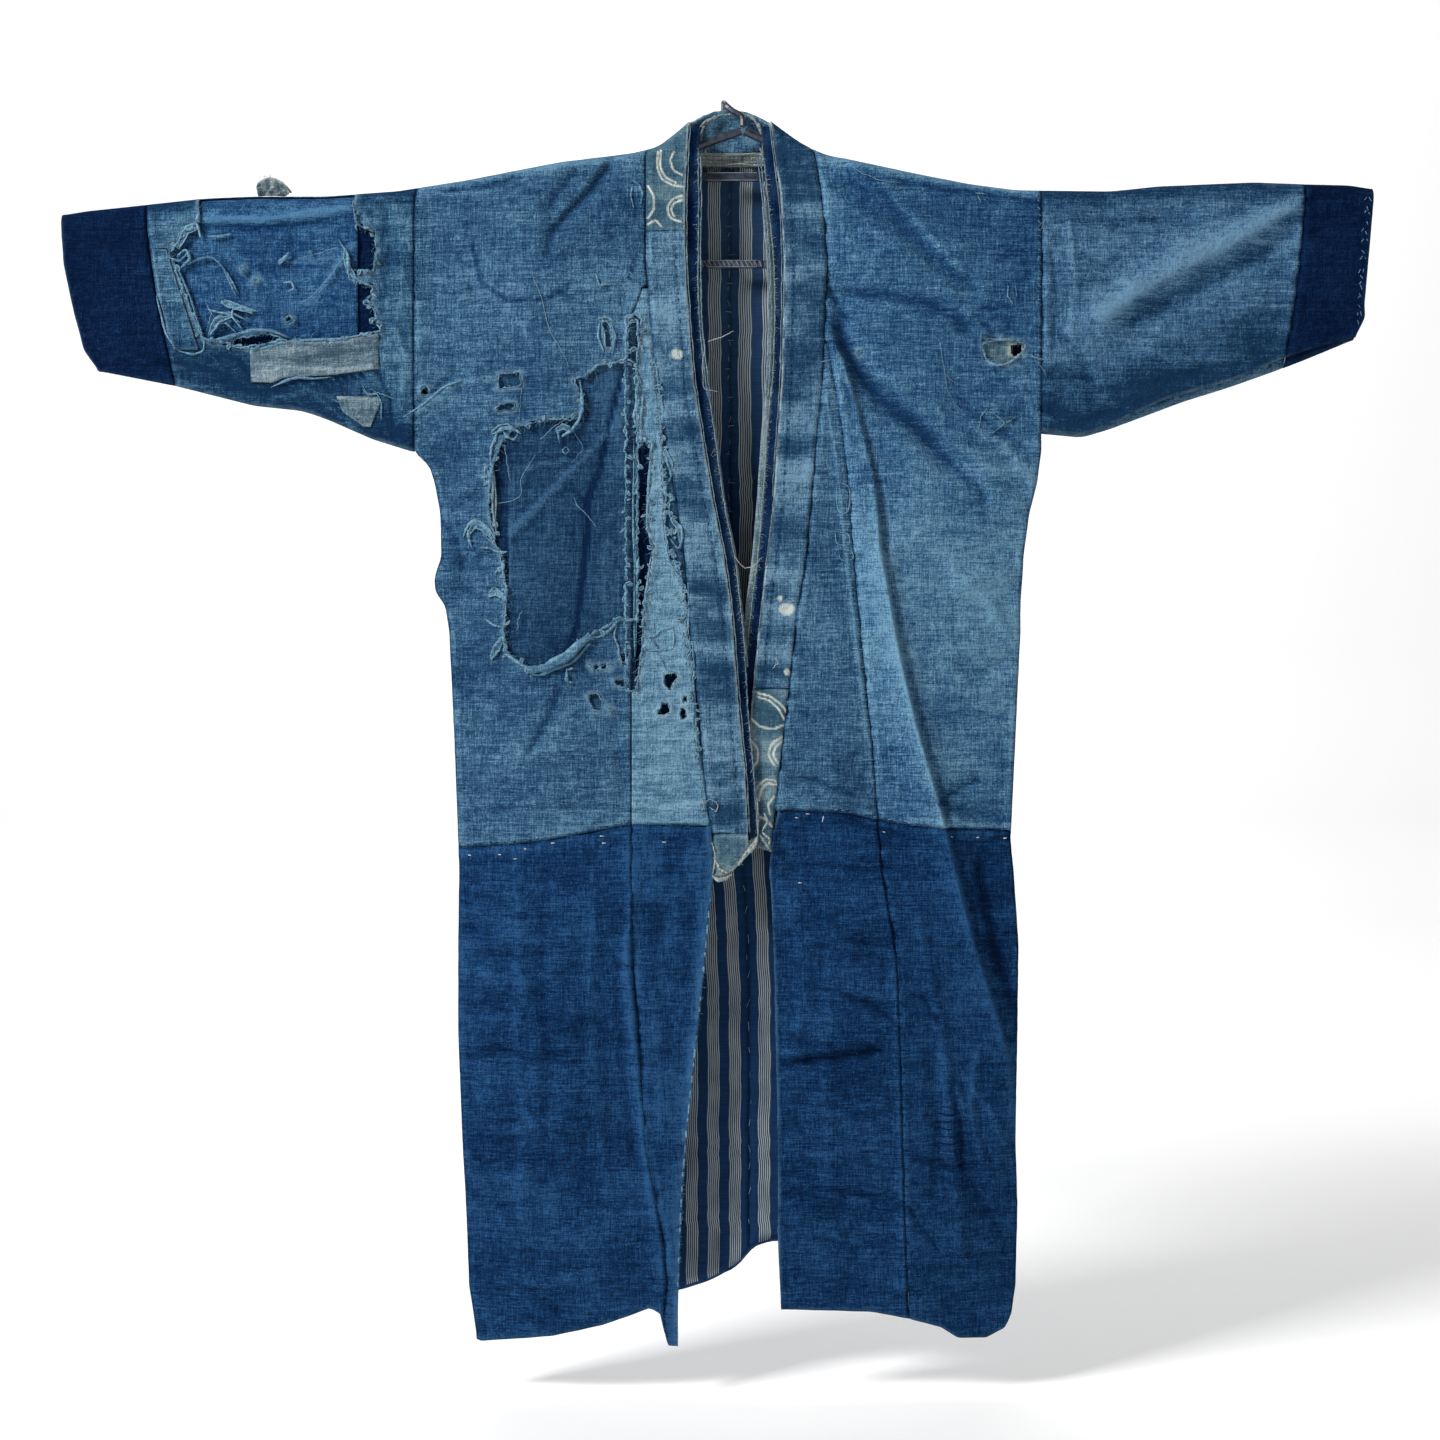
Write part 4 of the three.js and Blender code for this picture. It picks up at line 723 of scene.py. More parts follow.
def cloth(name, dark, base, light, mottle=1.0, streak=1.0, worn=None, stain=None):
    """Worn plain weave: blotches, long slubs along warp and weft and fine grain between three colours,
    lighter or darker as the piece's tone says, which holds painted light and shade as well as real fading,
    and paler where it is worn."""
    s = Shade(name)
    warp = s.noise((1.0, 1.0, 14), 2, 0.65)
    weft = s.noise((11, 11, 1.0), 2, 0.65)
    factor = s.total([
        (s.noise((75, 75, 60), 3), 0.55 * mottle), (s.noise((15, 15, 10), 3), 0.4 * mottle),
        (warp, 0.95 * streak), (weft, 1.05 * streak), (s.noise((60, 60, 1.7), 1), 0.5 * streak),
        (s.noise((1.7, 1.7, 60), 1), 0.35 * streak), (s.noise((1.5, 1.5, 1.3), 2), 0.9)])
    factor = s.math("ADD", factor, s.math("MULTIPLY", s.value("tone"), 0.5), clamp=True)
    colour = s.colours(factor, [(0.12, dark), (0.88, light), (0.5, base)])
    if stain:
        mask = s.math("MULTIPLY", s.math("SUBTRACT", s.noise((95, 95, 60), 2), 0.52), 7, clamp=True)
        colour = s.mix(s.math("MULTIPLY", mask, 0.5), colour, linear(stain))
    pale = s.math("MULTIPLY", s.value("wear_and_painted_light"), s.math("ADD", s.noise((3, 3, 3), 2), 0.25), clamp=True)
    colour = s.mix(pale, colour, linear(worn or light))
    s.put(s.surface.inputs["Base Color"], colour)
    s.bump(s.total([(warp, 0.5), (weft, 0.6), (s.noise((1.3, 1.3, 1.3), 1), 0.8),
                    (s.noise((9, 9, 6), 3), 2.6)]), 0.8, 1.8)
    return s.material


def striped(name, navy, band, pale, worn):
    """Striped lining: bands of fine pale lines on grey between plain navy ones, counted by the piece's
    stripe value, one band and one gap to each whole number."""
    s = Shade(name)
    along = s.value("stripe")
    place = s.math("FRACT", along)
    in_band = s.math("LESS_THAN", place, 0.57)
    fine = s.math("SINE", s.math("MULTIPLY", place, 2 * np.pi * 10.5))
    uneven = s.math("SUBTRACT", s.noise((2, 2, 30), 2), 0.46)
    line = s.math("MULTIPLY", s.math("ADD", fine, uneven), 1.7, clamp=True)
    weft = s.noise((30, 30, 1.6), 2)
    ground = s.mix(s.math("MULTIPLY", weft, 0.7), linear(navy[0]), linear(navy[1]))
    lines = s.mix(line, linear(band), linear(pale))
    colour = s.mix(in_band, ground, lines)
    # Where the tone is low the colour sinks towards plain navy: painted shade from the lining's waves and
    # seam, with random blotches.
    shade = s.math("ADD", s.math("MULTIPLY", s.value("tone"), 0.4),
                   s.math("MULTIPLY", s.noise((30, 30, 30), 2), 0.5))
    colour = s.mix(s.math("SUBTRACT", 0.35, shade, clamp=True), colour, linear(navy[0]))
    # The pale colour mixed in here is painted light: on the lining, the value that brings it in holds only
    # the paler top.
    colour = s.mix(s.value("wear_and_painted_light"), colour, linear(worn))
    s.put(s.surface.inputs["Base Color"], colour)
    s.bump(s.total([(weft, 0.6), (s.noise((1.5, 1.5, 30), 2), 0.6), (s.noise((9, 9, 9), 2), 1.5)]), 0.5, 1.0)
    return s.material


def plastic(name, shades=((24, 30, 42), (66, 76, 94))):
    """Dark moulded plastic, with faint scuffs."""
    s = Shade(name, 0.3)
    s.surface.inputs["Specular IOR Level"].default_value = 0.5
    colour = s.colours(s.noise((6, 6, 6), 3), [(0.3, shades[0]), (0.8, shades[1])])
    s.put(s.surface.inputs["Base Color"], colour)
    return s.material


faded = cloth("faded_indigo", (18, 46, 78), (49, 85, 117), (98, 138, 164), worn=(120, 154, 176))
chest = cloth("deep_faded_indigo", (20, 52, 90), (57, 99, 135), (112, 154, 180), worn=(124, 160, 184))
light_sleeve = cloth("pale_indigo", (16, 44, 74), (48, 86, 116), (98, 136, 160), worn=(126, 156, 174))
bright_sleeve = cloth("bright_pale_indigo", (20, 50, 80), (57, 95, 129), (104, 142, 170),
                      worn=(130, 160, 178))
frayed = cloth("frayed_indigo", (42, 76, 104), (82, 122, 148), (124, 162, 184), worn=(146, 176, 190))
deep = cloth("dark_indigo", (5, 25, 54), (17, 51, 90), (42, 84, 128), worn=(84, 120, 150))
navy = cloth("navy_cloth", (2, 14, 38), (5, 26, 58), (20, 48, 84), mottle=0.8, streak=0.8, worn=(52, 80, 112))
middle = cloth("under_indigo", (10, 34, 66), (29, 60, 90), (60, 96, 128), worn=(86, 124, 152))
sleeve_middle = cloth("under_sleeve_indigo", (10, 38, 76), (33, 71, 110), (76, 120, 156),
                      worn=(110, 148, 176))
khaki = cloth("khaki_dyed", (48, 80, 100), (78, 110, 129), (120, 146, 154), worn=(206, 212, 200),
              stain=(92, 118, 122))
beige = cloth("beige_cloth", (56, 80, 94), (94, 116, 130), (140, 158, 164), worn=(150, 162, 164))
collar_cloth = cloth("collar_indigo", (26, 58, 88), (62, 98, 127), (112, 148, 172), worn=(190, 200, 196))
# The last colour is painted light, mixed in only at the lining's top.
lining_stripes = striped("striped_lining", ((13, 36, 70), (40, 76, 116)), (54, 68, 90), (172, 182, 184),
                         (150, 176, 190))
# Painted light: the neck strip's colours are raised to lift it out of the shade inside the neck.
strip_beige_painted_light = cloth("neck_strip_cloth", (96, 112, 120), (146, 156, 158), (200, 204, 196), streak=1.3)
hanger_plastic = plastic("hanger_plastic")

# Torn outlines

FRONT_TEAR = [
    (-151, -282), (-140, -281), (-123, -266), (-111, -267), (-97, -261), (-95, -222), (-86, -222),
    (-86, -524), (-105, -521), (-116, -529), (-134, -539), (-145, -545), (-154, -557), (-179, -569),
    (-198, -571), (-217, -555), (-220, -534), (-218, -498), (-221, -462), (-229, -445), (-236, -413),
    (-235, -388), (-228, -357), (-221, -342), (-208, -330), (-179, -323), (-157, -323), (-142, -321),
    (-141, -311), (-145, -294)]
OVERLAP_TEAR = [
    (-98, -220), (-87, -219), (-83, -224), (-83, -240), (-86, -255), (-87, -270), (-89, -288), (-86, -299),
    (-90, -321), (-84, -337), (-86, -344), (-72, -345), (-72, -364), (-74, -388), (-77, -413), (-77, -434),
    (-70, -451), (-74, -476), (-78, -498), (-80, -519), (-82, -553), (-85, -582), (-88, -594), (-98, -594)]
FRONT_HOLES = [
    [(-226, -277), (-204, -275), (-203, -289), (-224, -291)],
    [(-228, -310), (-218, -305), (-209, -306), (-211, -313), (-227, -314)],
    [(-121, -224), (-114, -228), (-112, -252), (-118, -250)],
    [(-135, -567), (-111, -568), (-112, -573), (-133, -572)],
    [(-137, -599), (-127, -596), (-121, -604), (-123, -614), (-129, -614)],
    [(-111, -584), (-97, -582), (-98, -590), (-108, -589)],
    [(-104, -557), (-96, -556), (-97, -568), (-103, -566)],
    disc(-300, -293, 4), disc(-113, -613, 2.6)]
OVERLAP_HOLES = [
    [(-60, -577), (-51, -576), (-45, -580), (-50, -586), (-55, -594), (-59, -588)],
    [(-67, -618), (-62, -606), (-56, -605), (-54, -613), (-59, -619)],
    [(-45, -617), (-43, -611), (-38, -611), (-37, -620), (-41, -623)], disc(-39, -602, 2.6)]
SLEEVE_TEAR = [
    (-526, -70), (-528, -104), (-526, -122), (-539, -133), (-556, -154), (-545, -184), (-534, -213),
    (-523, -240), (-499, -245), (-475, -251), (-443, -240), (-416, -243), (-384, -241), (-363, -236),
    (-344, -233), (-349, -224), (-351, -211), (-362, -204), (-353, -197), (-352, -189), (-363, -184),
    (-376, -181), (-376, -172), (-352, -173), (-349, -160), (-349, -146), (-352, -132), (-368, -125),
    (-372, -107), (-368, -70)]
SLEEVE_UNDER_HOLES = [
    [(-499, -243), (-480, -238), (-462, -235), (-446, -238), (-444, -243), (-470, -247), (-490, -248)],
    disc(-484, -170, 2.6), disc(-470, -181, 3.2), disc(-438, -220, 3.4)]
ARMHOLE_TEAR = [(259, -245), (268, -241), (290, -242), (302, -246), (301, -256), (284, -267), (262, -262)]
RINGS_FRONT = torn([FRONT_TEAR] + FRONT_HOLES, 3)
RINGS_OVERLAP = torn([OVERLAP_TEAR] + OVERLAP_HOLES, 8)
RINGS_SLEEVE = torn([SLEEVE_TEAR], 15)
RINGS_UNDER_SLEEVE = torn(SLEEVE_UNDER_HOLES, 37)
RINGS_LEFT = torn([ARMHOLE_TEAR, disc(136, -255, 2.4)], 4)
RINGS_UNDER_ARM = torn([[(287, -246), (299, -245), (300, -255), (289, -257)]], 39)


# The cloth

def level(height):
    """A level edge: the same height at every x."""
    return lambda x: np.full(np.shape(x), float(height))


def neck_top(x):
    """The back's top edge: the shoulder line, and level behind the collar."""
    over = np.maximum(0, shoulder(x) + 57)
    return shoulder(x) - over * (1 - ramp(np.abs(x - MIDDLE), 76, 88))


def outer_right(z):
    """The right half's outer edge: the armhole above, the side seam below."""
    return np.where(z > -353, armhole_right(z), side_right(z))


def outer_left(z):
    """The left half's outer edge: the armhole above, the side seam below."""
    return np.where(z > -340, armhole_left(z), side_left(z))


def inner_right(z):
    """The right front's inner edge: the collar band above, the overlap strip below."""
    return np.where(z > -190, band_right(z), overlap_right(z))


def inner_left(z):
    """The left front's inner edge: the collar band above, the overlap strip below."""
    return np.where(z > -246, band_left(z), overlap_left(z))


centre = level(MIDDLE)


def shoulder_painted_highlight(x, z):
    """Painted highlight: how much paler the cloth is where it turns over the top of the shoulder: 0 at 22 mm
    below the fold, 0.5 at 4 mm.
    """
    return 0.5 * ramp(z, shoulder(x) - 22, shoulder(x) - 4)


def shade_right(x, z):
    """The right front is deeper over the chest and paler down the side and below the tear."""
    # The shoulder term is a painted highlight over the shoulder's top.
    tone = 0.16 * ramp(-z, 560, 640) - 0.1 * ramp(z, -190, -120) + shoulder_painted_highlight(x, z)
    tone = tone - 0.12 * ramp(-z, 330, 420)
    return 0 * x, tone, 0 * x


def shade_left(x, z):
    """The left front is darkest over the chest, pale at mid height and a little deeper at the waist."""
    tone = -0.3 * ramp(z, -330, -210) * ramp(x, 95, 170)
    tone = tone + 0.34 * ramp(-z, 330, 430) * (1 - ramp(-z, 560, 690))
    # The shoulder term is a painted highlight over the shoulder's top.
    tone = tone + shoulder_painted_highlight(x, z) - 0.25 * ramp(x, 285, 315) * ramp(z, -330, -120)
    return 0 * x, tone, 0 * x


right_face = front(creases=CREASES_RIGHT, seed=11)
left_face = front(creases=CREASES_LEFT, left=True, seed=17)
under_face = front(inset=CLOTH + 1.0, creases=CREASES_UNDER, wrinkle=0.25, seed=23)

panel("front_upper_right", "faded", faded, outer_right, inner_right,
      lambda x: np.where(x > -79, np.minimum(-50, shoulder(x)), shoulder(x)), waist_front, right_face,
      step=3.0, vaulted=True, seams="lrb", holes=RINGS_FRONT, extra=shade_right, seed=3)
panel("front_upper_left", "faded", chest, inner_left, outer_left,
      lambda x: np.where(x < 92, np.minimum(-50, shoulder(x)), shoulder(x)), waist_front, left_face,
      step=3.4, vaulted=True, seams="lrb", holes=RINGS_LEFT, extra=shade_left, seed=4, seam_painted_shade=0.5)
panel("front_lower_right", "indigo", deep, side_right, overlap_right, waist_front, hem_front, right_face,
      step=3.6, seams="ltr", hems="b", seed=6, seam_painted_shade=0.3)
panel("front_lower_left", "indigo", deep, overlap_left, side_left, waist_front, hem_front, left_face,
      step=3.2, seams="ltr", hems="b", seed=7, seam_painted_shade=0.42)
RAGGED = [
    (-70, -262), (-67, -274), (-64, -309), (-62, -333), (-62, -363), (-59, -400), (-60, -423), (-55, -463),
    (-41, -487), (-35, -543), (-31, -577), (-30, -620), (-26, -660)]
ragged = column([(z, x) for x, z in RAGGED], 1, 3)


def overlap_wear(x, z):
    """Right of its ragged line the overlap is a deeper cloth; left of it worn nearly white in bands."""
    line = ragged(z) + 2.2 * noise(x, z, 30, 4, 51) + 1.2 * noise(x, z, 30, 1.7, 52)
    beyond = ramp(x, line - 0.6, line + 0.6) * ramp(-z, 205, 262) * (1 - ramp(-z, 640, 680))
    tone = -1.1 * beyond + (0.35 * noise(x, z, 18, 3, 53) + 0.25) * (1 - beyond) - 0.5 * ramp(z, -262, -215)
    edge = np.exp(-(((x - line + 1.2) / 1.3) ** 2)) * (1 - ramp(-z, 640, 680))
    return 1.1 * (1 - beyond) * ramp(-z, 250, 280) - 0.5, tone, 0.7 * edge


panel("overlap_upper_right", "overlap", frayed, overlap_right, band_right, level(-192), waist_front,
      right_face, step=2.0, seams="br", holes=RINGS_OVERLAP, seed=8, extra=overlap_wear)
panel("overlap_upper_left", "overlap", faded, band_left, overlap_left, level(-247), waist_front, left_face,
      step=3.4, seams="lrb", seed=9, seam_painted_shade=0.45)


def lower_edge(x, z):
    """The lower right overlap is paler, with soft upright folds and a frayed, rubbed front edge."""
    gap = edge_right(z) - x
    worn = (0.35 + 0.5 * noise(x, z, 9, 5, 56)) * np.exp(-((gap / 5) ** 2))
    tone = 0.14 + 0.3 * noise(x, z, 8, 60, 54) + 0.45 * np.exp(-((gap / 8) ** 2))
    return 0.9 * noise(x, z, 12, 70, 55), tone, np.clip(worn, 0, 1)


panel("overlap_lower_right", "indigo", deep, overlap_right, edge_right, waist_front, hem_front, right_face,
      step=2.8, seams="lt", hems="rb", seed=10, seam_painted_shade=0.3, extra=lower_edge)
panel("overlap_lower_left", "indigo", deep, edge_left, overlap_left, waist_front, hem_front, left_face,
      step=3.6, seams="rt", hems="lb", seed=12)

back_face = back()
for side, outer, inner in (("right", outer_right, centre), ("left", centre, outer_left)):
    panel(f"back_upper_{side}", "faded", faded, outer, inner, neck_top, waist_back, back_face, step=5.6,
          vaulted=True, seams="lrb", facing=-1, seed=13, seam_painted_shade=0.55)
for side, outer, inner in (("right", side_right, centre), ("left", centre, side_left)):
    panel(f"back_lower_{side}", "indigo", deep, outer, inner, waist_back, hem_back, back_face, step=5.5,
          seams="lrt", hems="b", facing=-1, seed=14, seam_painted_shade=0.5)

SLEEVES = {
    "right": ((cuff_seam_right, armhole_right), (cuff_end_right, cuff_seam_right), sleeve_hem_right,
              sleeve_hem_right, right_face, RINGS_SLEEVE, "lr", "l", light_sleeve),
    "left": ((armhole_left, cuff_seam_left), (cuff_seam_left, cuff_end_left), sleeve_hem_left,
             sleeve_hem_left_back, left_face, [], "lr", "r", bright_sleeve),
}


def sleeve_lift_and_painted_shade(x, z):
    """Sleeves have painted shade along the top and towards the hem, which leaves them paler across the
    middle, with bands near the cuff and puckers by the armhole that are paler where they stand out, as
    painted light, and a little worn on the bands.
    """
    below = shoulder(x) - z
    low = np.where(x < 0, sleeve_hem_right(x), sleeve_hem_left(x))
    tone = -0.75 * np.exp(-((below / 18) ** 2)) - (1 - ramp(z - low, 0, 85)) + 0.08
    bands = noise(x, z, 60, 6, 47) * ramp(np.abs(x), 520, 560)
    puckers = noise(x, z, 40, 5.5, 48) * (1 - ramp(np.abs(x), 318, 352))
    tone = tone + 0.2 * noise(x, z, 48, 30, 49) + 0.3 * bands + 0.35 * puckers
    lift = (1.3 * noise(x, z, 26, 20, 50) + 0.8 * bands + 0.9 * puckers) * (1 - 0.75 * layered(x, z))
    return lift, tone, 0.15 * ramp(bands, 0.2, 0.8)


for side, (body, cuff, low_front, low_back, face, rings, sewn, end, finish) in SLEEVES.items():
    panel(f"sleeve_{side}_front", "pale", finish, *body, shoulder, low_front, face, step=3.0, vaulted=True,
          seams=sewn, hems="b", holes=rings, seed=15, extra=sleeve_lift_and_painted_shade)
    panel(f"sleeve_{side}_back", "pale", light_sleeve, *body, shoulder, low_back, back_face, step=5.5,
          vaulted=True, seams=sewn, hems="b", facing=-1, seed=16)
    panel(f"cuff_{side}_front", "navy", navy, *cuff, shoulder, low_front, face, step=3.0, vaulted=True,
          seams="r" if side == "right" else "l", hems="b" + end, seed=17)
    panel(f"cuff_{side}_back", "navy", navy, *cuff, shoulder, low_back, back_face, step=5.0, vaulted=True,
          seams="r" if side == "right" else "l", hems="b" + end, facing=-1, seed=18)

# The collar

RIGHT_DYED = -134
RIGHT_END = -736
LEFT_DYED = -591
ARCS_RIGHT = [
    [(-66, -56), (-67, -72), (-62, -84), (-50, -90), (-41, -91)],
    [(-63, -55), (-64, -71), (-59, -81), (-48, -87)], [(-50, -56), (-54, -64), (-51, -74), (-42, -79)],
    [(-76, -90), (-70, -100), (-70, -114), (-76, -122)], [(-42, -100), (-52, -103), (-57, -112),
    (-54, -122), (-43, -126)], [(-42, -104), (-50, -107), (-53, -113), (-50, -120)],
    [(-76, -128), (-68, -124), (-63, -130)]]
ARCS_LEFT = [
    [(34, -596), (46, -599), (58, -608), (64, -618)], [(34, -600), (45, -603), (55, -612), (60, -622)],
    [(28, -622), (36, -630), (50, -632), (60, -628)], [(58, -640), (48, -646), (44, -658), (50, -668)],
    [(61, -643), (52, -649), (49, -658), (54, -666)], [(26, -642), (34, -652), (34, -664), (27, -674)],
    [(52, -684), (42, -682), (33, -690), (31, -702)], [(53, -688), (43, -686), (37, -693), (35, -704)],
    [(50, -700), (44, -708), (46, -718)], [(24, -712), (32, -720), (42, -722), (48, -730)]]
SPOTS = [(-47, -258, 5.4, 5.2), (63, -512, 8, 6), (63, -575, 3, 3.2), (56, -502, 2.6, 2.6)]


def collar_look(arcs, fold):
    """A collar length's marks: resist lines, cream spots, and a pale worn line and a sewn row at the folded
    edge, the sewn row sunk in and painted darker there as painted shade.
    """
    def at(x, z):
        worn = np.zeros(x.shape)
        for arc in arcs:
            line = [tuple(point) for point in drawn(arc, 22)]
            worn = np.maximum(worn, 1.15 * (1 - ramp(path_distance(line, x, z), 0.5, 1.3)))
        for cx, cz, wide, tall in SPOTS:
            worn = np.maximum(worn, 1.3 * (1 - ramp(np.hypot((x - cx) / wide, (z - cz) / tall), 0.85, 1.15)))
        gap = np.abs(x - fold(z))
        sewn = np.exp(-(((gap - 10) / 2) ** 2))
        tone = 0.5 * np.exp(-((gap / 5) ** 2)) * (0.5 + noise(x, z, 5, 9, 61))
        tone = tone + 0.45 * ramp(-x, 30, 50) * ramp(z, -330, -250) * ramp(-z, 120, 150)
        tone = tone - 0.26 * ramp(z, -430, -300)
        # The sewn row's darkening is painted shade in its groove.
        tone = tone + 0.7 * noise(x, z, 60, 20, 63) + 0.35 * noise(x, z, 24, 8, 64) - 0.35 * sewn
        worn = np.maximum(worn, 0.75 * np.exp(-((gap / 1.1) ** 2)))
        lift = noise(x, z, 34, 12, 62) + 0.4 * noise(x, z, 12, 6, 65) + 0.35 * np.exp(-((gap / 4) ** 2))
        return lift - 0.5 * sewn, tone, worn
    return at


band_face_right = front(lift=BAND_PROUD, wrinkle=0.35, seed=31)
band_face_left = front(lift=BAND_PROUD, left=True, wrinkle=0.35, seed=33)
foot_right = column([(-12, -781), (4, -777), (14, -769), (24, -750)], 1, 3)
foot_left = column([(10, -758), (30, -750), (46, -754)], 1, 3)
panel("collar_right_dyed", "khaki", khaki, band_right, fold_right, shoulder, level(RIGHT_DYED),
      band_face_right, step=1.25, vaulted=True, seams="l", extra=collar_look(ARCS_RIGHT, fold_right),
      thick=BAND, seed=21)
panel("collar_right", "faded", collar_cloth, band_right, fold_right, level(RIGHT_DYED), level(RIGHT_END),
      band_face_right, step=1.9, seams="lt", extra=collar_look([], fold_right), thick=BAND, seed=22)
panel("collar_right_end", "khaki", khaki, band_right, fold_right, level(RIGHT_END), foot_right,
      band_face_right, step=1.9, seams="lt", extra=collar_look([], fold_right), thick=BAND, hems="b",
      seed=23)
panel("collar_left", "faded", collar_cloth, fold_left, band_left, shoulder, level(LEFT_DYED),
      band_face_left, step=1.9, vaulted=True, seams="r", extra=collar_look([], fold_left), thick=BAND,
      seed=24, seam_painted_shade=0.4)
panel("collar_left_dyed", "khaki", khaki, fold_left, band_left, level(LEFT_DYED), foot_left,
      band_face_left, step=1.25, seams="rt", extra=collar_look(ARCS_LEFT, fold_left), thick=BAND, hems="b",
      seed=25)


def behind(face, by):
    """The same face, moved towards the back."""
    def at(x, z):
        y, tone = face(x, z)
        return y + by, tone
    return at


NAVY_INSET = BAND - BAND_PROUD + 0.3
EDGE_INSET = NAVY_INSET + UNDER + 0.6
smooth_right = front(wrinkle=0.2, seed=35)
smooth_left = front(left=True, wrinkle=0.2, seed=37)


def piping(line):
    """A pale worn line along one edge, x(z)."""
    def at(x, z):
        gap = np.abs(x - line(z))
        rub = 0.35 * ramp(noise(x, z, 7, 24, 76), 0.0, 0.8)
        return 0.5 * noise(x, z, 30, 9, 71), 0.35 + 0.6 * noise(x, z, 8, 30, 72), np.maximum(
            rub, 0.7 * np.exp(-((gap / 1.2) ** 2)))
    return at


panel("collar_inner_right", "navy", navy, lambda z: fold_right(z) - 9, navy_right, level(-30), level(-743),
      behind(smooth_right, NAVY_INSET), step=2.2, extra=piping(navy_right), seed=26)
panel("collar_inner_left", "navy", navy, navy_left, lambda z: fold_left(z) + 9, level(-30), level(-743),
      behind(smooth_left, NAVY_INSET), step=2.2, extra=piping(navy_left), seed=27)


def edge_stripes(x, z):
    """A narrow turned edge: worn beige threads beside the navy band."""
    worn = 0.85 * ramp(noise(x, z, 2.6, 60, 73), -0.1, 0.5)
    return 0.3 * noise(x, z, 9, 12, 74), 0.3 * noise(x, z, 9, 30, 75), worn


panel("lining_edge_right", "stripe", beige, lambda z: navy_right(z) - 8, lambda z: navy_right(z) + 3,
      level(-180), level(-570), behind(smooth_right, EDGE_INSET), step=2.2, extra=edge_stripes, seed=28)
panel("lining_edge_left", "stripe", beige, lambda z: navy_left(z) - 7, lambda z: navy_left(z) + 8,
      level(-110), level(-570), behind(smooth_left, EDGE_INSET), step=2.2, extra=edge_stripes, seed=29)

# Bands round the neck

NECK_SEAM = (7, 84, -53, 4)
NECK_FOLD = (7.5, 42, 15.8)


def neck_grid(u, v):
    """The back collar: ruled between its seam to the back and its folded upper edge, both half ellipses."""
    angle = np.pi * (1 - u)
    seam_x = NECK_SEAM[0] + NECK_SEAM[1] * np.cos(angle)
    seam_z = NECK_SEAM[2] - NECK_SEAM[3] * np.sin(angle)
    seam_y = depth(seam_x, seam_z)
    fold_x = NECK_FOLD[0] + NECK_FOLD[1] * np.cos(angle)
    fold_y = NECK_FOLD[2] * np.sin(angle)
    fold_z = shoulder(fold_x)
    low, high = np.stack([seam_x, seam_y, seam_z], -1), np.stack([fold_x, fold_y, fold_z], -1)
    points = high + (low - high) * v[..., None]
    points[..., 1] += 1.2 * np.sin(np.pi * v)
    return points


NECK_COLUMNS = 121
NECK_ROWS = 41
u, v = np.meshgrid(np.linspace(0, 1, NECK_COLUMNS), np.linspace(0, 1, NECK_ROWS))
points = neck_grid(u, v)
crumple = noise(u * 150, v * 60, 9, 9, 81)
points[..., 1] += 0.5 * crumple
points[..., 2] += 0.6 * noise(u * 150, v * 60, 5, 7, 82) * np.exp(-v * 5)
a = grid_corners(NECK_ROWS, NECK_COLUMNS)
faces = np.stack([a, a + 1, a + NECK_COLUMNS + 1, a + NECK_COLUMNS], axis=1)
worn = 0.9 * np.exp(-((v / 0.07) ** 2)) * (0.6 + 0.6 * noise(u * 150, v * 40, 3, 3, 83))
neck_back = build("robe_collar_back", points.reshape(-1, 3), faces, faded,
                  {"tone": (0.3 + 0.3 * crumple).ravel(), "wear_and_painted_light": np.clip(worn, 0, 1).ravel()}, BAND)
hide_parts("collar_back")


def neck_strip_face(x, z):
    """A shallow bow round the neck's inside, with a stripe to each 2.6 mm of height."""
    bow = 17.9 - 0.0025 * (x - MIDDLE) ** 2
    return bow + 0.5 * noise(x, z, 12, 8, 84), 0.6 * np.sin(z * 2 * np.pi / 2.6) + 0 * x


panel("neck_strip", "beige", strip_beige_painted_light, level(-40), level(54), level(-47), level(-61), neck_strip_face,
      step=1.2, facing=-1, thick=0.8, seed=30)


# The striped lining

def lining_seam(z):
    """The lining's centre seam: at the hanger's middle above, 20 mm to the left below."""
    return MIDDLE + 20 * ramp(-z, 520, 930) + 0.9 * noise(0 * z, z, 5, 11, 90)


def stripe_value(x, z):
    """Counts stripes outwards from the seam, one to each 24 mm above and 22 mm below, with a slow waver."""
    waver = 1.1 * noise(x, z, 60, 110, 91) + 0.07 * noise(x, z, 12, 25, 92)
    period = 24 - 2 * ramp(-z, 560, 790)
    return (np.abs(x - lining_seam(z)) + waver - 9.3) / period + 12


lining_back = back(inset=CLOTH + 1.5)


def lining_face(x, z):
    """The lining just inside the back: soft waves, more of them near the hem and the seam, which sinks in.
    Its tone is painted light and shade along the waves and painted shade in the sunk seam.
    """
    y, tone = lining_back(x, z)
    seam = x - lining_seam(z)
    wave = 0.8 * noise(x, z, 26, 70, 93) + 0.4 * noise(x, z, 9, 14, 94)
    wave = wave + 1.3 * noise(x + 0.5 * z, z, 60, 17, 96) * ramp(-z, 960, 1080)
    wave = wave + 0.8 * noise(x, z, 14, 11, 97) * np.exp(-((seam / 14) ** 2))
    dip = np.exp(-((seam / 2.5) ** 2))
    return y + wave * 0.8 - 0.9 * (np.exp(-((seam / 9) ** 2)) - dip), 0.45 * wave - 0.8 * dip


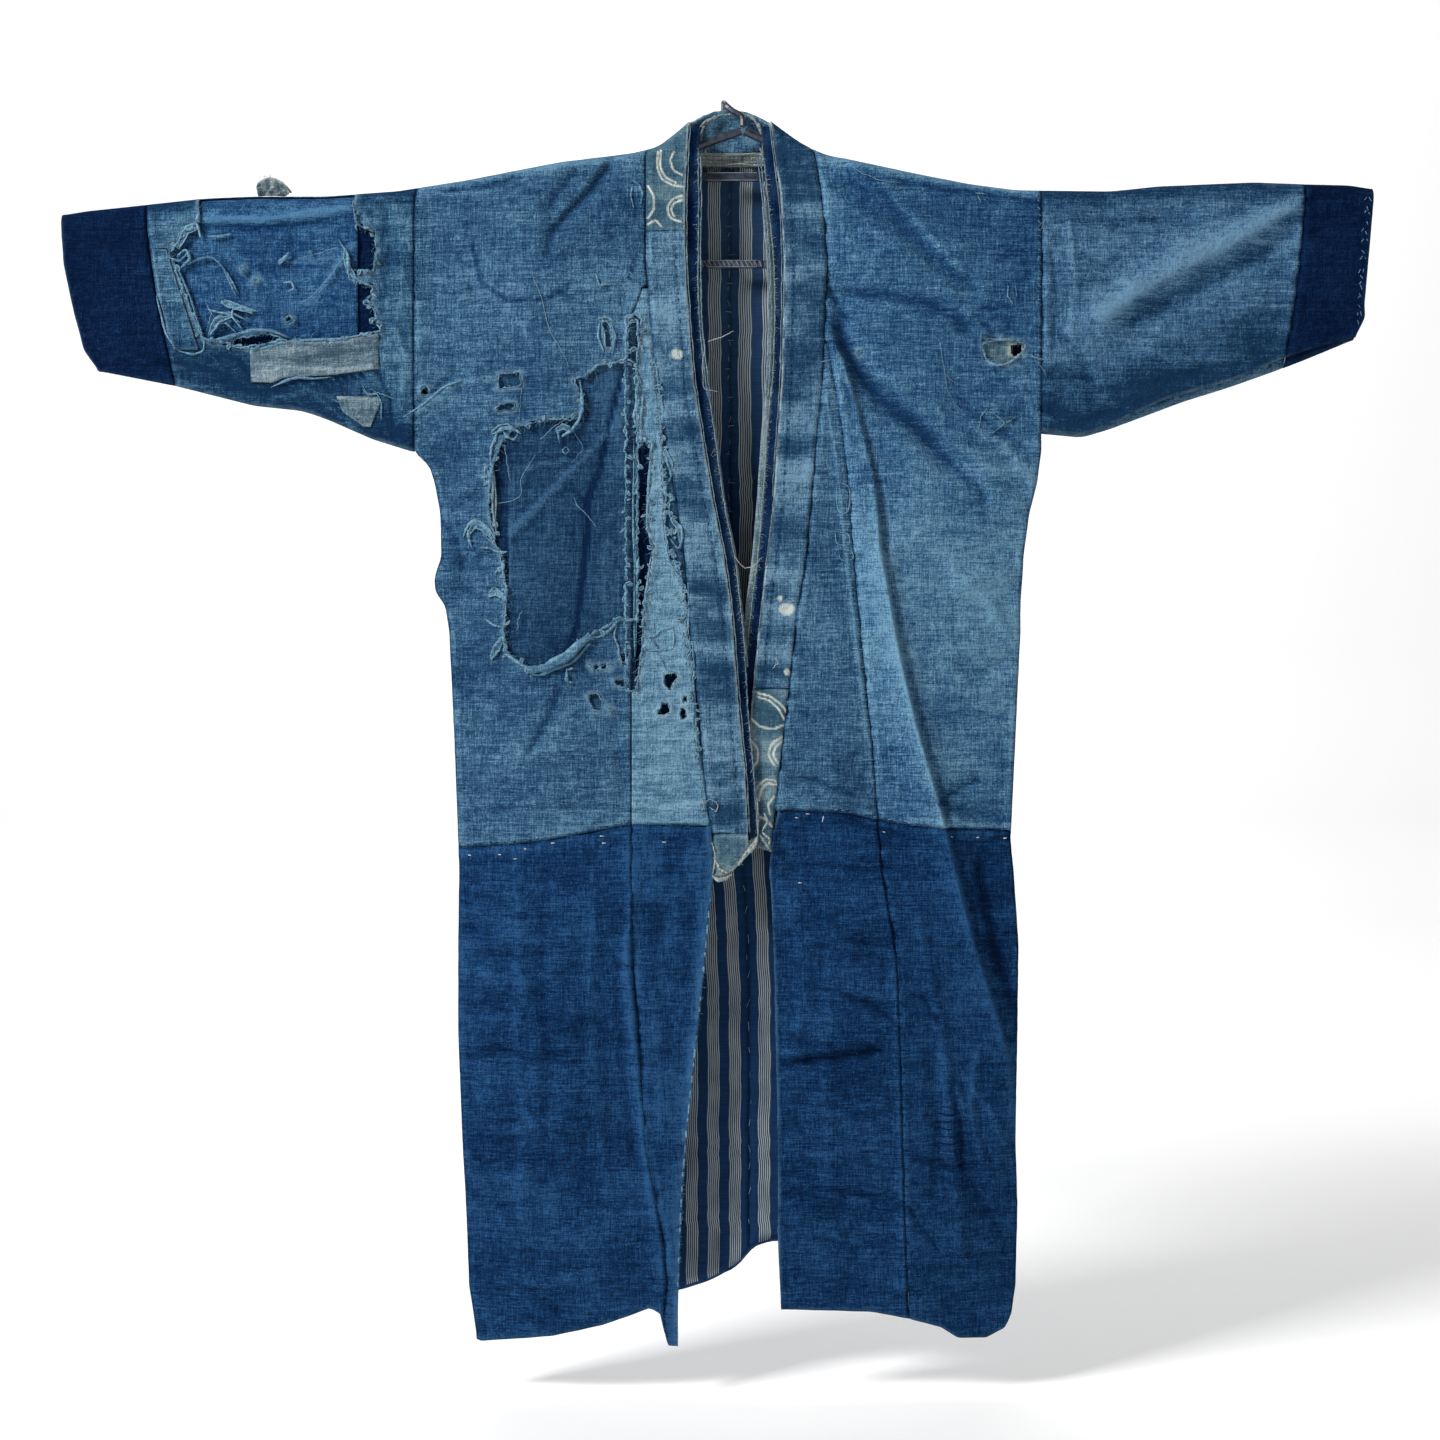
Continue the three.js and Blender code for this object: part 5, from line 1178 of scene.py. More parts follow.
def lining_painted_light(x, z):
    """Painted light: the lining is paler towards the top, where the collar shades it, with a little of the
    pale worn colour mixed in there.
    """
    tone = 1.1 * ramp(z, -560, -240) + 0.5 * noise(x, z, 18, 30, 98)
    return 0 * x, tone, 0.04 * ramp(z, -460, -120)


def lining_panel(node, left, right):
    """One width of the lining, with its stripes counted across the cloth."""
    obj = panel(node, "stripe", lining_stripes, left, right,
                lambda x: np.minimum(-60, shoulder(x) - VAULT - 4), lambda x: hem_back(x) + 4, lining_face,
                step=6.0, facing=-1, thick=0.6, seed=32, extra=lining_painted_light)
    co = np.zeros(len(obj.data.vertices) * 3)
    obj.data.vertices.foreach_get("co", co)
    co = co.reshape(-1, 3) / MM
    layer = obj.data.attributes.new("stripe", "FLOAT", "POINT")
    layer.data.foreach_set("value", stripe_value(co[:, 0], co[:, 2]).astype(np.float32))
    return obj


lining_panel("lining_right", lambda z: outer_right(z) + 14, lining_seam)
lining_panel("lining_left", lining_seam, lambda z: outer_left(z) - 14)

# Layers under the tears, and patches

# The layer under the great tear is paler at the top and the right, and darker in a strip along the tear's
# left edge, as painted shade under that edge.
panel("under_front_right", "middle", middle, level(-242), level(-88), level(-214), level(-634), under_face,
      step=3.4, seed=34, extra=lambda x, z: (0 * x, 0.4 * ramp(z, -330, -260) + 0.25 * ramp(x, -140,
      -100) - 0.5 * ramp(-x, 212, 224) * ramp(-z, 330, 360), 0 * x))
panel("under_overlap_right", "navy", navy, level(-98), lambda z: band_right(z) - 3, level(-212),
      level(-640), front(inset=CLOTH + 3.1, wrinkle=0.3, seed=36), step=3.0, seed=35, extra=lambda x,
      z: (0 * x, 1.1 * ramp(noise(x, z, 1.6, 40, 95), 0.2, 0.8), 0 * x))
panel("under_sleeve_right", "middle", sleeve_middle, level(-570), level(-368), lambda x: shoulder(x) - 2.6,
      level(-256), front(inset=CLOTH + 1.0, wrinkle=0.5, seed=38,
      creases=[((-523, -121, -460, -121, -420, -116, -376, -109), 4, 1.6, 0.9),
      ((-530, -126, -460, -128, -400, -122), 5, -1.0, -0.3), ((-379, -153, -410, -200, -424, -205), 3, 0.7,
      0.6), ((-360, -140, -400, -158, -440, -164), 4, 0.6, 0.4)]), step=3.0, vaulted=True,
      holes=RINGS_UNDER_SLEEVE, seed=37)
panel("under_sleeve_deep", "navy", navy, level(-504), level(-330), level(-112), level(-262),
      front(inset=CLOTH + 3.1, wrinkle=0.4, seed=39), step=3.0, seed=38)
panel("under_armhole_left", "khaki", khaki, level(250), level(308), level(-236), level(-274),
      front(inset=CLOTH + 1.0, left=True, wrinkle=0.4, seed=41), step=2.2, seed=39, holes=RINGS_UNDER_ARM)


def on_sleeve(x, z):
    """A patch rises and falls with the sleeve under it, worn at random."""
    return sleeve_lift_and_painted_shade(x, z)[0] + 0.3, 0.5 * noise(x, z, 30, 7, 45), 0 * x


CREASES_PATCH = CREASES_RIGHT + [
    ((-474, -262, -452, -258, -430, -262, -400, -256, -350, -250), (3, 1.5), 0.5, -0.35),
    ((-470, -274, -440, -268, -410, -270, -380, -262), (2, 3), 0.45, 0.3),
    ((-420, -262, -390, -268, -352, -262), 1.6, -0.4, -0.4), ((-325, -310, -305, -326), 2, 0.4, -0.3),
]
patch_face = front(lift=0.3 + UNDER * 0.6, creases=CREASES_PATCH, seed=11)
panel("patch_beige_large", "beige", beige, level(-476), level(-346),
      column([(-476, -252), (-454, -246), (-435, -242), (-416, -244), (-384, -242), (-346, -235)], 1, 2),
      column([(-473, -283), (-454, -284), (-443, -279), (-390, -276), (-346, -270)], 1, 2), patch_face,
      step=2.0, seams="r", hems="tb", seed=41, extra=on_sleeve)
panel("patch_beige_small", "beige", beige, column([(-296, -390), (-313, -384), (-328, -362)], 1, 2),
      column([(-296, -348), (-304, -345), (-328, -356)], 1, 2), level(-298), level(-328), patch_face,
      step=2.0, seed=42, extra=on_sleeve)
panel("patch_cuff_side", "pale", light_sleeve, column([(-149, -574), (-203, -566), (-251, -553)], 1, 2),
      column([(-149, -560), (-197, -545), (-251, -528)], 1, 2), level(-151), level(-251), patch_face,
      step=2.0, hems="lrtb", seed=43, extra=sleeve_lift_and_painted_shade)

# Torn edges, rags, threads and stitches

def tubes(name, paths, radius, material, sheet, sides=5, tone=0.0):
    """Tubes along paths[n, t, xyz]: round each point a ring of `sides` points, at radius[n, t]."""
    paths = np.asarray(paths, dtype=float)
    count, steps, _ = paths.shape
    along = np.gradient(paths, axis=1)
    along /= np.linalg.norm(along, axis=2, keepdims=True) + 1e-9
    side = np.cross(along, np.array([0.0, 1.0, 0.15]))
    side /= np.linalg.norm(side, axis=2, keepdims=True) + 1e-9
    up = np.cross(side, along)
    angle = (np.arange(sides) * 2 * np.pi / sides)[None, None, :, None]
    reach = np.broadcast_to(radius, (count, steps))[..., None, None]
    ring = paths[:, :, None] + reach * (np.cos(angle) * side[:, :, None] + np.sin(angle) * up[:, :, None])
    index = np.arange(count * steps * sides).reshape(count, steps, sides)
    beside = np.roll(index, -1, axis=2)
    faces = np.stack([index[:, :-1], index[:, 1:], beside[:, 1:], beside[:, :-1]], axis=-1).reshape(-1, 4)
    shade = np.broadcast_to(np.asarray(tone, dtype=float).reshape(-1, 1, 1), (count, steps, sides))
    values = {"tone": shade.ravel(), "wear_and_painted_light": 0 * shade.ravel()}
    obj = build(name, ring.reshape(-1, 3), faces, material, values)
    if sheet:
        ON_SHEET.setdefault(sheet, []).append(obj)
    return obj


def lips(name, rings, face, material, sheet, radius=1.0, seed=1, every=13.0):
    """Rolled lips: short soft rolls that overlap along each torn ring, thick and thin by turns."""
    random = np.random.default_rng(seed)
    paths, radii = [], []
    for ring in rings:
        loop = np.array(ring + ring[:1])
        length = run_of(loop)
        starts = np.arange(0, length[-1], every)
        starts = starts + random.uniform(-4, 4, len(starts))
        reach = random.uniform(9, 26, len(starts))
        at = (starts[:, None] + reach[:, None] * np.linspace(0, 1, LIP_POINTS)) % length[-1]
        x = np.interp(at, length, loop[:, 0]) + noise(at, 0 * at, 5, 5, seed) * 0.8
        z = np.interp(at, length, loop[:, 1]) + noise(at, 0 * at + 40, 5, 5, seed) * 0.8
        swelling = np.sin(np.pi * np.linspace(0.04, 0.96, LIP_POINTS))
        fat = radius * random.uniform(0.35, 1.25, len(starts))[:, None] * swelling
        fat = fat * (1 + 0.35 * noise(at, 0 * at + 9, 3.2, 5, seed + 1))
        y = face(x, z)[0] - 0.5 - 0.8 * fat - 0.4 * noise(at, 0 * at + 80, 6, 5, seed + 2)
        on_cloth = (z < shoulder(x) - 5).all(axis=1)
        paths.append(np.stack([x, y, z], axis=-1)[on_cloth])
        radii.append(np.maximum(fat, 0.12)[on_cloth])
    paths = np.concatenate(paths)
    shade = random.uniform(-0.2, 0.5, len(paths))
    return tubes(name, paths, np.concatenate(radii), material, sheet, 5, shade)


def fringe(name, rings, face, material, sheet, longest=6.0, spacing=1.3, seed=2, open_line=False):
    """Fray: fine bent threads that start along the rings and point in over the hole, drooping a little."""
    random = np.random.default_rng(seed)
    paths = []
    for ring in rings:
        loop = np.array(ring if open_line else ring + ring[:1], dtype=float)
        length = run_of(loop)
        at = np.arange(0, length[-1], spacing)
        at = at + random.uniform(-0.6, 0.6, len(at))
        x, z = np.interp(at, length, loop[:, 0]), np.interp(at, length, loop[:, 1])
        tx = np.interp(at + 2, length, loop[:, 0]) - np.interp(at - 2, length, loop[:, 0])
        tz = np.interp(at + 2, length, loop[:, 1]) - np.interp(at - 2, length, loop[:, 1])
        area = np.sum(loop[:-1, 0] * loop[1:, 1] - loop[1:, 0] * loop[:-1, 1])
        turn = np.arctan2(tz, tx) + (np.pi / 2 if area > 0 or open_line else -np.pi / 2)
        turn = turn + random.normal(0, 0.75, len(at))
        long = longest * random.uniform(0.12, 1, len(at)) ** 2.2 + 0.8
        t = np.linspace(0, 1, 6)[None, :]
        bend = random.normal(0, 0.5, len(at))[:, None]
        across, upright = np.cos(turn)[:, None], np.sin(turn)[:, None]
        px = x[:, None] + long[:, None] * (t * across - bend * t * t * upright)
        pz = z[:, None] + long[:, None] * (t * upright + bend * t * t * across - 0.25 * t * t)
        py = face(x, z)[0][:, None] - 0.4 - random.uniform(-0.3, 1.6, len(at))[:, None] * t
        on_cloth = open_line | (pz < shoulder(px) - 5).all(axis=1)
        paths.append(np.stack([px, py, pz], axis=-1)[on_cloth])
    paths = np.concatenate(paths)
    radius = random.uniform(0.13, 0.26, len(paths))[:, None] * np.array([1, 1, 1, 0.9, 0.8, 0.4])
    return tubes(name, paths, radius, material, sheet, 3, random.uniform(-0.3, 0.8, len(paths)))


def rolls(name, rows, face, material, sheet, seed=3, sides=7, steps=30, tone=0.2):
    """Curled strips and cords of torn cloth: a soft tube along each given path, its radius uneven."""
    random = np.random.default_rng(seed)
    paths, radii = [], []
    for index, (points, radius, lift) in enumerate(rows):
        line = drawn(points, steps)
        x, z = line[:, 0], line[:, 1]
        s = np.linspace(0, 1, steps)
        fat = radius * (1 + 0.4 * noise(s * 40, 0 * s + index * 3.1, 3.0, 1, seed))
        fat = fat * np.sin(np.pi * (0.06 + 0.9 * s)) ** 0.5
        waver = noise(s * 30, 0 * s + index * 5.7, 4, 1, seed + 1)
        y = face(x, z)[0] - lift - 0.75 * fat - 0.5 * radius * waver
        paths.append(np.stack([x, y, z], axis=-1))
        radii.append(fat)
    shade = tone + random.uniform(-0.25, 0.35, len(paths))
    return tubes(name, np.array(paths), np.array(radii), material, sheet, sides, shade)


def ribbons(name, rows, face, material, sheet, seed=4, steps=22, columns=7):
    """Curled strips of cloth: across each given path an arc of `curl` turns, uneven and crumpled."""
    grid_points, grid_faces, tones = [], [], []
    across = np.linspace(-0.5, 0.5, columns)
    for index, (points, width, curl, lift) in enumerate(rows):
        line = drawn(points, steps)
        along = np.gradient(line, axis=0)
        along /= np.linalg.norm(along, axis=1, keepdims=True)
        s = np.linspace(0, 1, steps)
        wide = width * (0.25 + 0.75 * np.sin(np.pi * (0.08 + 0.88 * s)))
        wide = wide * (1 + 0.3 * noise(s * 40, 0 * s + index, 4, 1, seed))
        angle = 2 * np.pi * curl * across[None, :]
        bend = wide[:, None] / (2 * np.pi * curl)
        off = bend * np.sin(angle)
        out = bend * (1 - np.cos(angle))
        x = line[:, :1] - along[:, 1:] * off
        z = line[:, 1:] + along[:, :1] * off
        rough = noise(x, z, 3.5, 3.5, seed + index)
        base = face(line[:, 0], line[:, 1])[0][:, None]
        y = base - lift - out - 0.5 * rough - 1.2 * np.sin(np.pi * s)[:, None] * 0.6
        grid_points.append(np.stack([x, y, z], axis=-1).reshape(-1, 3))
        a = grid_corners(steps, columns) + index * steps * columns
        grid_faces.append(np.stack([a, a + 1, a + columns + 1, a + columns], axis=1))
        # Painted light: paler towards the curled-up sides and where the crumple stands out, darker in the
        # gutter; the pale rims are worn edges.
        tones.append((0.3 * rough + 0.35 * np.abs(across)[None, :] * 2 - 0.1).ravel())
    points = np.concatenate(grid_points)
    tone = np.concatenate(tones)
    wear_and_painted_light = np.tile(np.tile(np.exp(-(((0.5 - np.abs(across)) / 0.07) ** 2)) * 0.8, steps), len(rows))
    obj = build(name, points, np.concatenate(grid_faces), material, {"tone": tone, "wear_and_painted_light": wear_and_painted_light}, 0.7)
    ON_SHEET.setdefault(sheet, []).append(obj)
    return obj


def stitches(name, rows, face, material, sheet, seed=5, radius=0.42, out=0.35):
    """Single stitches, each (x, z, length, angle): a short arc out of the cloth and back in."""
    rows = np.array(rows, dtype=float)
    t = np.linspace(-0.5, 0.5, 7)[None, :]
    x = rows[:, :1] + rows[:, 2:3] * t * np.cos(rows[:, 3:4])
    z = rows[:, 1:2] + rows[:, 2:3] * t * np.sin(rows[:, 3:4])
    y = face(x, z)[0] - out - 0.7 * (1 - (2 * t) ** 2) + 0.5
    random = np.random.default_rng(seed)
    paths = np.stack([x, y, z], axis=-1)
    return tubes(name, paths, radius, material, sheet, 5, random.uniform(-0.3, 0.5, len(rows)))


def row_of_stitches(path, spacing, length, seed, jitter=0.5, angle=0.0):
    """Stitches laid along a path (x, z), or across it by an angle, unevenly spaced."""
    random = np.random.default_rng(seed)
    path = np.array(path, dtype=float)
    run = run_of(path)
    at = np.arange(spacing * 0.4, run[-1], spacing)
    at = at + random.normal(0, 0.12 * spacing, len(at))
    x, z = np.interp(at, run, path[:, 0]), np.interp(at, run, path[:, 1])
    turn = np.arctan2(np.interp(at + 1, run, path[:, 1]) - np.interp(at - 1, run, path[:, 1]),
                      np.interp(at + 1, run, path[:, 0]) - np.interp(at - 1, run, path[:, 0]))
    x, z = x + random.normal(0, jitter, len(at)), z + random.normal(0, jitter, len(at))
    long = length * random.uniform(0.6, 1.3, len(at))
    return np.stack([x, z, long, turn + angle + random.normal(0, 0.2, len(at))], 1)


def down(line, high, low, count=30, shift=0.0):
    """The path (x, z) along an edge x(z) from high to low."""
    z = np.linspace(high, low, count)
    return list(zip((line(z) + shift).tolist(), z.tolist()))


def over(line, first, last, count=30, shift=0.0):
    """The path (x, z) along an edge z(x) from first to last."""
    x = np.linspace(first, last, count)
    return list(zip(x.tolist(), (line(x) + shift).tolist()))


FRONT_R, OVERLAP_R, SLEEVE_R = "robe_front_upper_right", "robe_overlap_upper_right", "robe_sleeve_right_front"
FRONT_L, LOW_R, LOW_L = "robe_front_upper_left", "robe_front_lower_right", "robe_front_lower_left"


def flaps(rings, seed, every, longest):
    """Rows for ribbons: short strips that start on the torn rings and hang or curl away at random."""
    random = np.random.default_rng(seed)
    rows = []
    for ring in rings:
        loop = np.array(ring + ring[:1])
        length = run_of(loop)
        for at in np.arange(every / 2, length[-1], every):
            at = at + random.uniform(-0.4, 0.4) * every
            x, z = np.interp(at, length, loop[:, 0]), np.interp(at, length, loop[:, 1])
            turn, reach = random.uniform(0, 2 * np.pi), random.uniform(0.4, 1) * longest
            bend = turn + random.uniform(-1.2, 1.2)
            middle = (x + 0.5 * reach * np.cos(turn), z + 0.5 * reach * np.sin(turn) * 0.8)
            end = (middle[0] + 0.5 * reach * np.cos(bend), middle[1] + 0.5 * reach * np.sin(bend) - 1)
            if z < shoulder(x) - 14:
                width, rolled = random.uniform(0.35, 0.7) * longest, random.uniform(0.25, 0.6)
                rows.append(([(x, z), middle, end], width, rolled, 0.4))
    return rows


ribbons("torn_flaps_front", flaps(RINGS_FRONT[:1], 106, 13, 9), right_face, frayed, FRONT_R, 116,
        9, 5)
ribbons("torn_flaps_overlap", flaps(RINGS_OVERLAP[:1], 107, 10, 8), right_face, frayed,
        OVERLAP_R, 117, 9, 5)
ribbons("torn_flaps_sleeve", flaps(RINGS_SLEEVE, 108, 13, 8), right_face, frayed, SLEEVE_R, 118, 9, 5)
ribbons("torn_flaps_ragged", flaps([RAGGED], 109, 8, 9), right_face, frayed, OVERLAP_R, 119, 9, 5)
lips("torn_lips_ragged", [roughen(RAGGED + [(x + 0.5, z) for x, z in RAGGED[::-1]], 110)], right_face,
     frayed, OVERLAP_R, 1.3, 110, 9)
lips("torn_lips_front", RINGS_FRONT[:1], right_face, frayed, FRONT_R, 1.6, 101, 10)
lips("torn_lips_overlap", RINGS_OVERLAP[:1], right_face, frayed, OVERLAP_R, 1.4, 102, 9)
lips("hole_lips_front", RINGS_FRONT[1:], right_face, frayed, FRONT_R, 0.75, 140, 5)
lips("hole_lips_overlap", RINGS_OVERLAP[1:], right_face, frayed, OVERLAP_R, 0.75, 141, 5)
lips("torn_lips_sleeve", RINGS_SLEEVE, right_face, frayed, SLEEVE_R, 1.6, 103, 10)
lips("torn_lips_under_sleeve", RINGS_UNDER_SLEEVE, right_face, frayed, "robe_under_sleeve_right",
     0.8, 104, 6)
lips("torn_lips_left", RINGS_LEFT, left_face, frayed, FRONT_L, 0.9, 105, 8)
fringe("fray_front", RINGS_FRONT[:1], right_face, frayed, FRONT_R, 7, 1.3, 111)
fringe("fray_overlap", RINGS_OVERLAP[:1], right_face, frayed, OVERLAP_R, 6, 1.1, 112)
fringe("hole_fray_front", RINGS_FRONT[1:], right_face, frayed, FRONT_R, 2.6, 1.6, 142)
fringe("hole_fray_overlap", RINGS_OVERLAP[1:], right_face, frayed, OVERLAP_R, 2.6, 1.6, 143)
fringe("fray_sleeve", RINGS_SLEEVE, right_face, frayed, SLEEVE_R, 5, 1.4, 113)
fringe("fray_under_sleeve", RINGS_UNDER_SLEEVE, right_face, frayed, "robe_under_sleeve_right", 3,
       1.2, 114)
fringe("fray_left", RINGS_LEFT, left_face, frayed, FRONT_L, 4, 1.0, 115)

rolls("rags_front", [
    ((-229, -345, -228, -335, -218, -330, -208, -333, -203, -337), 2.0, 0.3),
    ((-222, -332, -217, -340, -210, -343, -206, -337), 1.5, 1.2),
    ((-229, -340, -233, -350, -234, -362), 1.8, 0.2),
    ((-241, -374, -236, -368, -232, -374, -235, -384, -241, -388), 2.2, 0.4),
    ((-243, -380, -236, -379, -231, -385), 1.8, 1.6),
    ((-262, -439, -257, -427, -248, -422, -237, -430, -229, -441), 1.9, 0.4),
    ((-257, -432, -256, -442, -253, -449), 1.6, 0.6), ((-244, -450, -234, -451, -222, -457), 1.1, 0.3),
    ((-229, -476, -225, -470, -219, -468), 1.3, 0.3), ((-236, -496, -230, -490, -217, -500), 1.7, 0.4),
    ((-239, -522, -231, -528, -222, -530), 1.3, 0.3),
    ((-234, -560, -229, -548, -221, -539, -219, -552), 1.7, 0.4),
    ((-218, -557, -198, -571, -185, -573, -172, -565, -155, -556, -144, -543, -133, -539), 2.7, 0.4),
    ((-194, -576, -185, -579, -168, -571, -153, -567, -144, -558, -134, -546), 2.0, 1.0),
    ((-176, -572, -160, -563, -148, -555, -139, -543), 1.5, 3.2),
    ((-157, -571, -157, -584, -151, -586), 1.9, 0.6), ((-156, -573, -150, -571), 1.3, 1.4),
    ((-133, -539, -125, -541, -112, -532, -105, -522, -92, -522), 1.6, 0.3),
    ((-107, -528, -110, -539, -105, -550, -105, -563, -98, -567), 1.3, 0.6),
    ((-156, -326, -166, -335, -164, -347), 1.7, 0.5), ((-162, -340, -152, -334, -147, -326), 1.6, 0.5),
    ((-158, -350, -162, -354, -158, -358, -154, -354, -158, -350), 0.8, 0.6),
    ((-144, -284, -142, -296, -141, -311, -145, -325, -155, -336), 1.5, 0.4),
    ((-128, -177, -124, -190, -116, -188), 1.2, 0.3),
    ((-91, -85, -85, -88, -81, -97, -83, -108), 1.1, 0.3), ((-90, -112, -93, -100, -91, -88), 0.9, 0.3),
    ((-126, -222, -117, -221, -109, -226), 1.3, 0.3), ((-124, -226, -126, -240, -120, -255), 1.2, 0.3),
    ((-112, -228, -108, -240, -111, -256), 1.2, 0.3),
    ((-140, -282, -126, -268, -110, -267, -98, -262), 1.4, 0.3),
    ((-322, -318, -300, -305, -280, -288, -262, -283), 1.2, 0.1),
    ((-306, -288, -299, -286, -294, -293, -299, -299, -306, -296), 0.9, 0.4),
    ((-90, -345, -90, -380, -91, -420, -89, -470, -90, -520, -89, -560), 1.2, -0.6),
    ((-88, -350, -87, -400, -88, -450, -87, -500, -88, -556), 0.9, -0.9),
], right_face, frayed, FRONT_R, 121)
rolls("rim_strip_front", [
    ((-234, -362, -231, -385, -232, -410, -228, -436), 1.6, 0.3),
    ((-231, -372, -228, -400, -229, -424), 1.1, 1.2),
],
    right_face, beige, FRONT_R, 128)
ribbons("rag_strips_front", [
    ((-258, -438, -250, -427, -240, -432, -232, -442), 8, 0.35, 0.4),
    ((-236, -499, -228, -495, -218, -502), 7, 0.3, 0.4),
    ((-234, -562, -227, -550, -220, -542), 8, 0.3, 0.5),
    ((-200, -573, -180, -573, -162, -562, -146, -549, -136, -540), 9, 0.5, 0.4),
    ((-168, -334, -160, -330, -150, -335), 8, 0.4, 0.3),
    ((-233, -336, -222, -329, -210, -331), 9, 0.45, 0.3),
    ((-240, -366, -237, -376, -240, -388), 7, 0.5, 0.5),
], right_face, frayed, FRONT_R, 122)
rolls("rags_overlap", [
    ((-66, -287, -64, -298, -61, -311, -62, -333), 1.4, 0.3),
    ((-61, -354, -55, -370, -52, -378, -55, -385), 1.8, 0.4),
    ((-58, -386, -58, -398, -49, -402, -56, -406), 1.4, 0.4),
    ((-55, -409, -54, -422, -43, -430, -41, -441, -45, -454, -53, -443), 1.5, 0.4),
    ((-57, -463, -41, -467, -51, -472, -40, -485, -46, -489), 1.4, 0.4),
    ((-50, -463, -46, -476, -41, -474), 1.3, 0.8), ((-36, -485, -35, -513, -36, -539), 0.9, 0.2),
    ((-33, -536, -31, -552, -30, -571, -32, -587), 1.2, 0.2),
    ((-79, -541, -68, -539, -64, -533, -51, -530), 1.2, 0.4),
    ((-51, -530, -50, -541, -51, -552), 0.9, 0.4), ((-51, -552, -64, -553, -79, -554), 0.9, 0.4),
    ((-76, -541, -70, -546, -66, -552), 1.3, 0.5), ((-79, -573, -68, -573, -57, -575), 0.9, 0.3),
    ((-66, -558, -60, -568, -56, -577), 0.9, 0.3),
    ((-88, -290, -87, -305, -90, -322, -84, -338), 1.6, 0.3),
    ((-73, -350, -74, -372, -76, -398, -77, -430, -71, -450), 1.5, 0.3),
    ((-73, -460, -75, -476, -78, -498, -80, -520), 1.4, 0.3),
    ((-82, -553, -85, -575, -87, -592), 1.1, 0.3), ((-84, -338, -78, -343, -72, -346), 1.8, 0.3),
    ((-62, -580, -54, -574, -44, -578), 1.2, 0.4), ((-30, -590, -28, -610, -30, -632), 0.8, 0.2),
], right_face, frayed, OVERLAP_R, 123)
ribbons("rag_strips_overlap", [
    ((-59, -352, -54, -366, -52, -378), 7, 0.4, 0.3), ((-53, -422, -44, -432, -43, -448), 7, 0.4, 0.4),
    ((-82, -300, -85, -318, -84, -336), 8, 0.35, 0.3), ((-56, -466, -47, -470, -43, -480), 6, 0.4, 0.4),
], right_face, frayed, OVERLAP_R, 124)
rolls("rags_sleeve", [
    ((-544, -143, -540, -128, -528, -125, -525, -139), 1.8, 0.4),
    ((-549, -158, -540, -150, -535, -160, -546, -170), 1.7, 0.4),
    ((-560, -158, -546, -163, -536, -152), 1.2, 0.3), ((-518, -138, -506, -138, -493, -135), 1.4, 0.0),
    ((-538, -166, -526, -160, -513, -158, -502, -169, -497, -181, -491, -195), 1.4, 0.2),
    ((-500, -172, -493, -184, -489, -193), 1.1, 0.2), ((-448, -165, -441, -160, -436, -154), 1.9, 0.4),
    ((-442, -184, -434, -183, -431, -190, -438, -193), 1.0, 0.3),
    ((-387, -141, -377, -155, -376, -176, -362, -184, -350, -189), 1.6, 0.3),
    ((-518, -238, -510, -219, -496, -213, -481, -221), 1.3, 0.3),
    ((-518, -211, -497, -216, -486, -224), 1.2, 0.5), ((-502, -201, -486, -207, -468, -213), 1.2, 0.4),
    ((-512, -226, -500, -224, -490, -234), 1.1, 0.6), ((-492, -206, -494, -218, -484, -230), 1.1, 0.9),
    ((-518, -243, -496, -238, -472, -231, -454, -232, -437, -239), 1.8, 0.2),
    ((-416, -152, -412, -158), 1.0, 0.3), ((-442, -221, -436, -216, -430, -222, -437, -226), 1.0, 0.3),
    ((-558, -154, -545, -176, -534, -203, -530, -219, -522, -240), 1.2, 0.2),
    ((-522, -240, -523, -252, -534, -256, -550, -251), 1.2, 0.2),
    ((-550, -251, -561, -235, -566, -213, -570, -197), 1.1, 0.2),
    ((-569, -192, -556, -190, -547, -191, -542, -197), 1.0, 0.2),
    ((-566, -205, -556, -202, -545, -203), 0.9, 0.2),
    ((-569, -150, -561, -148, -557, -155, -562, -161, -569, -158, -569, -150), 0.9, 0.2),
    ((-456, -288, -441, -282, -429, -278, -412, -280, -395, -278), 1.4, 0.1),
    ((-363, -291, -355, -297, -349, -294, -344, -304, -345, -320), 1.1, 0.3),
    ((-395, -300, -384, -305, -372, -318, -362, -328), 0.9, 0.2),
    ((-500, -247, -470, -252, -444, -244, -416, -241, -384, -241, -349, -233), 1.1, 0.9),
], right_face, frayed, SLEEVE_R, 125)
ribbons("rag_strips_sleeve", [
    ((-548, -150, -539, -133, -528, -130), 9, 0.4, 0.3),
    ((-517, -236, -508, -222, -494, -218), 8, 0.4, 0.3),
    ((-505, -203, -490, -208, -473, -214), 8, 0.3, 0.3),
    ((-380, -150, -378, -168, -368, -181), 7, 0.35, 0.3),
    ((-447, -166, -441, -160, -435, -154), 6, 0.6, 0.3),
], right_face, frayed, SLEEVE_R, 126)
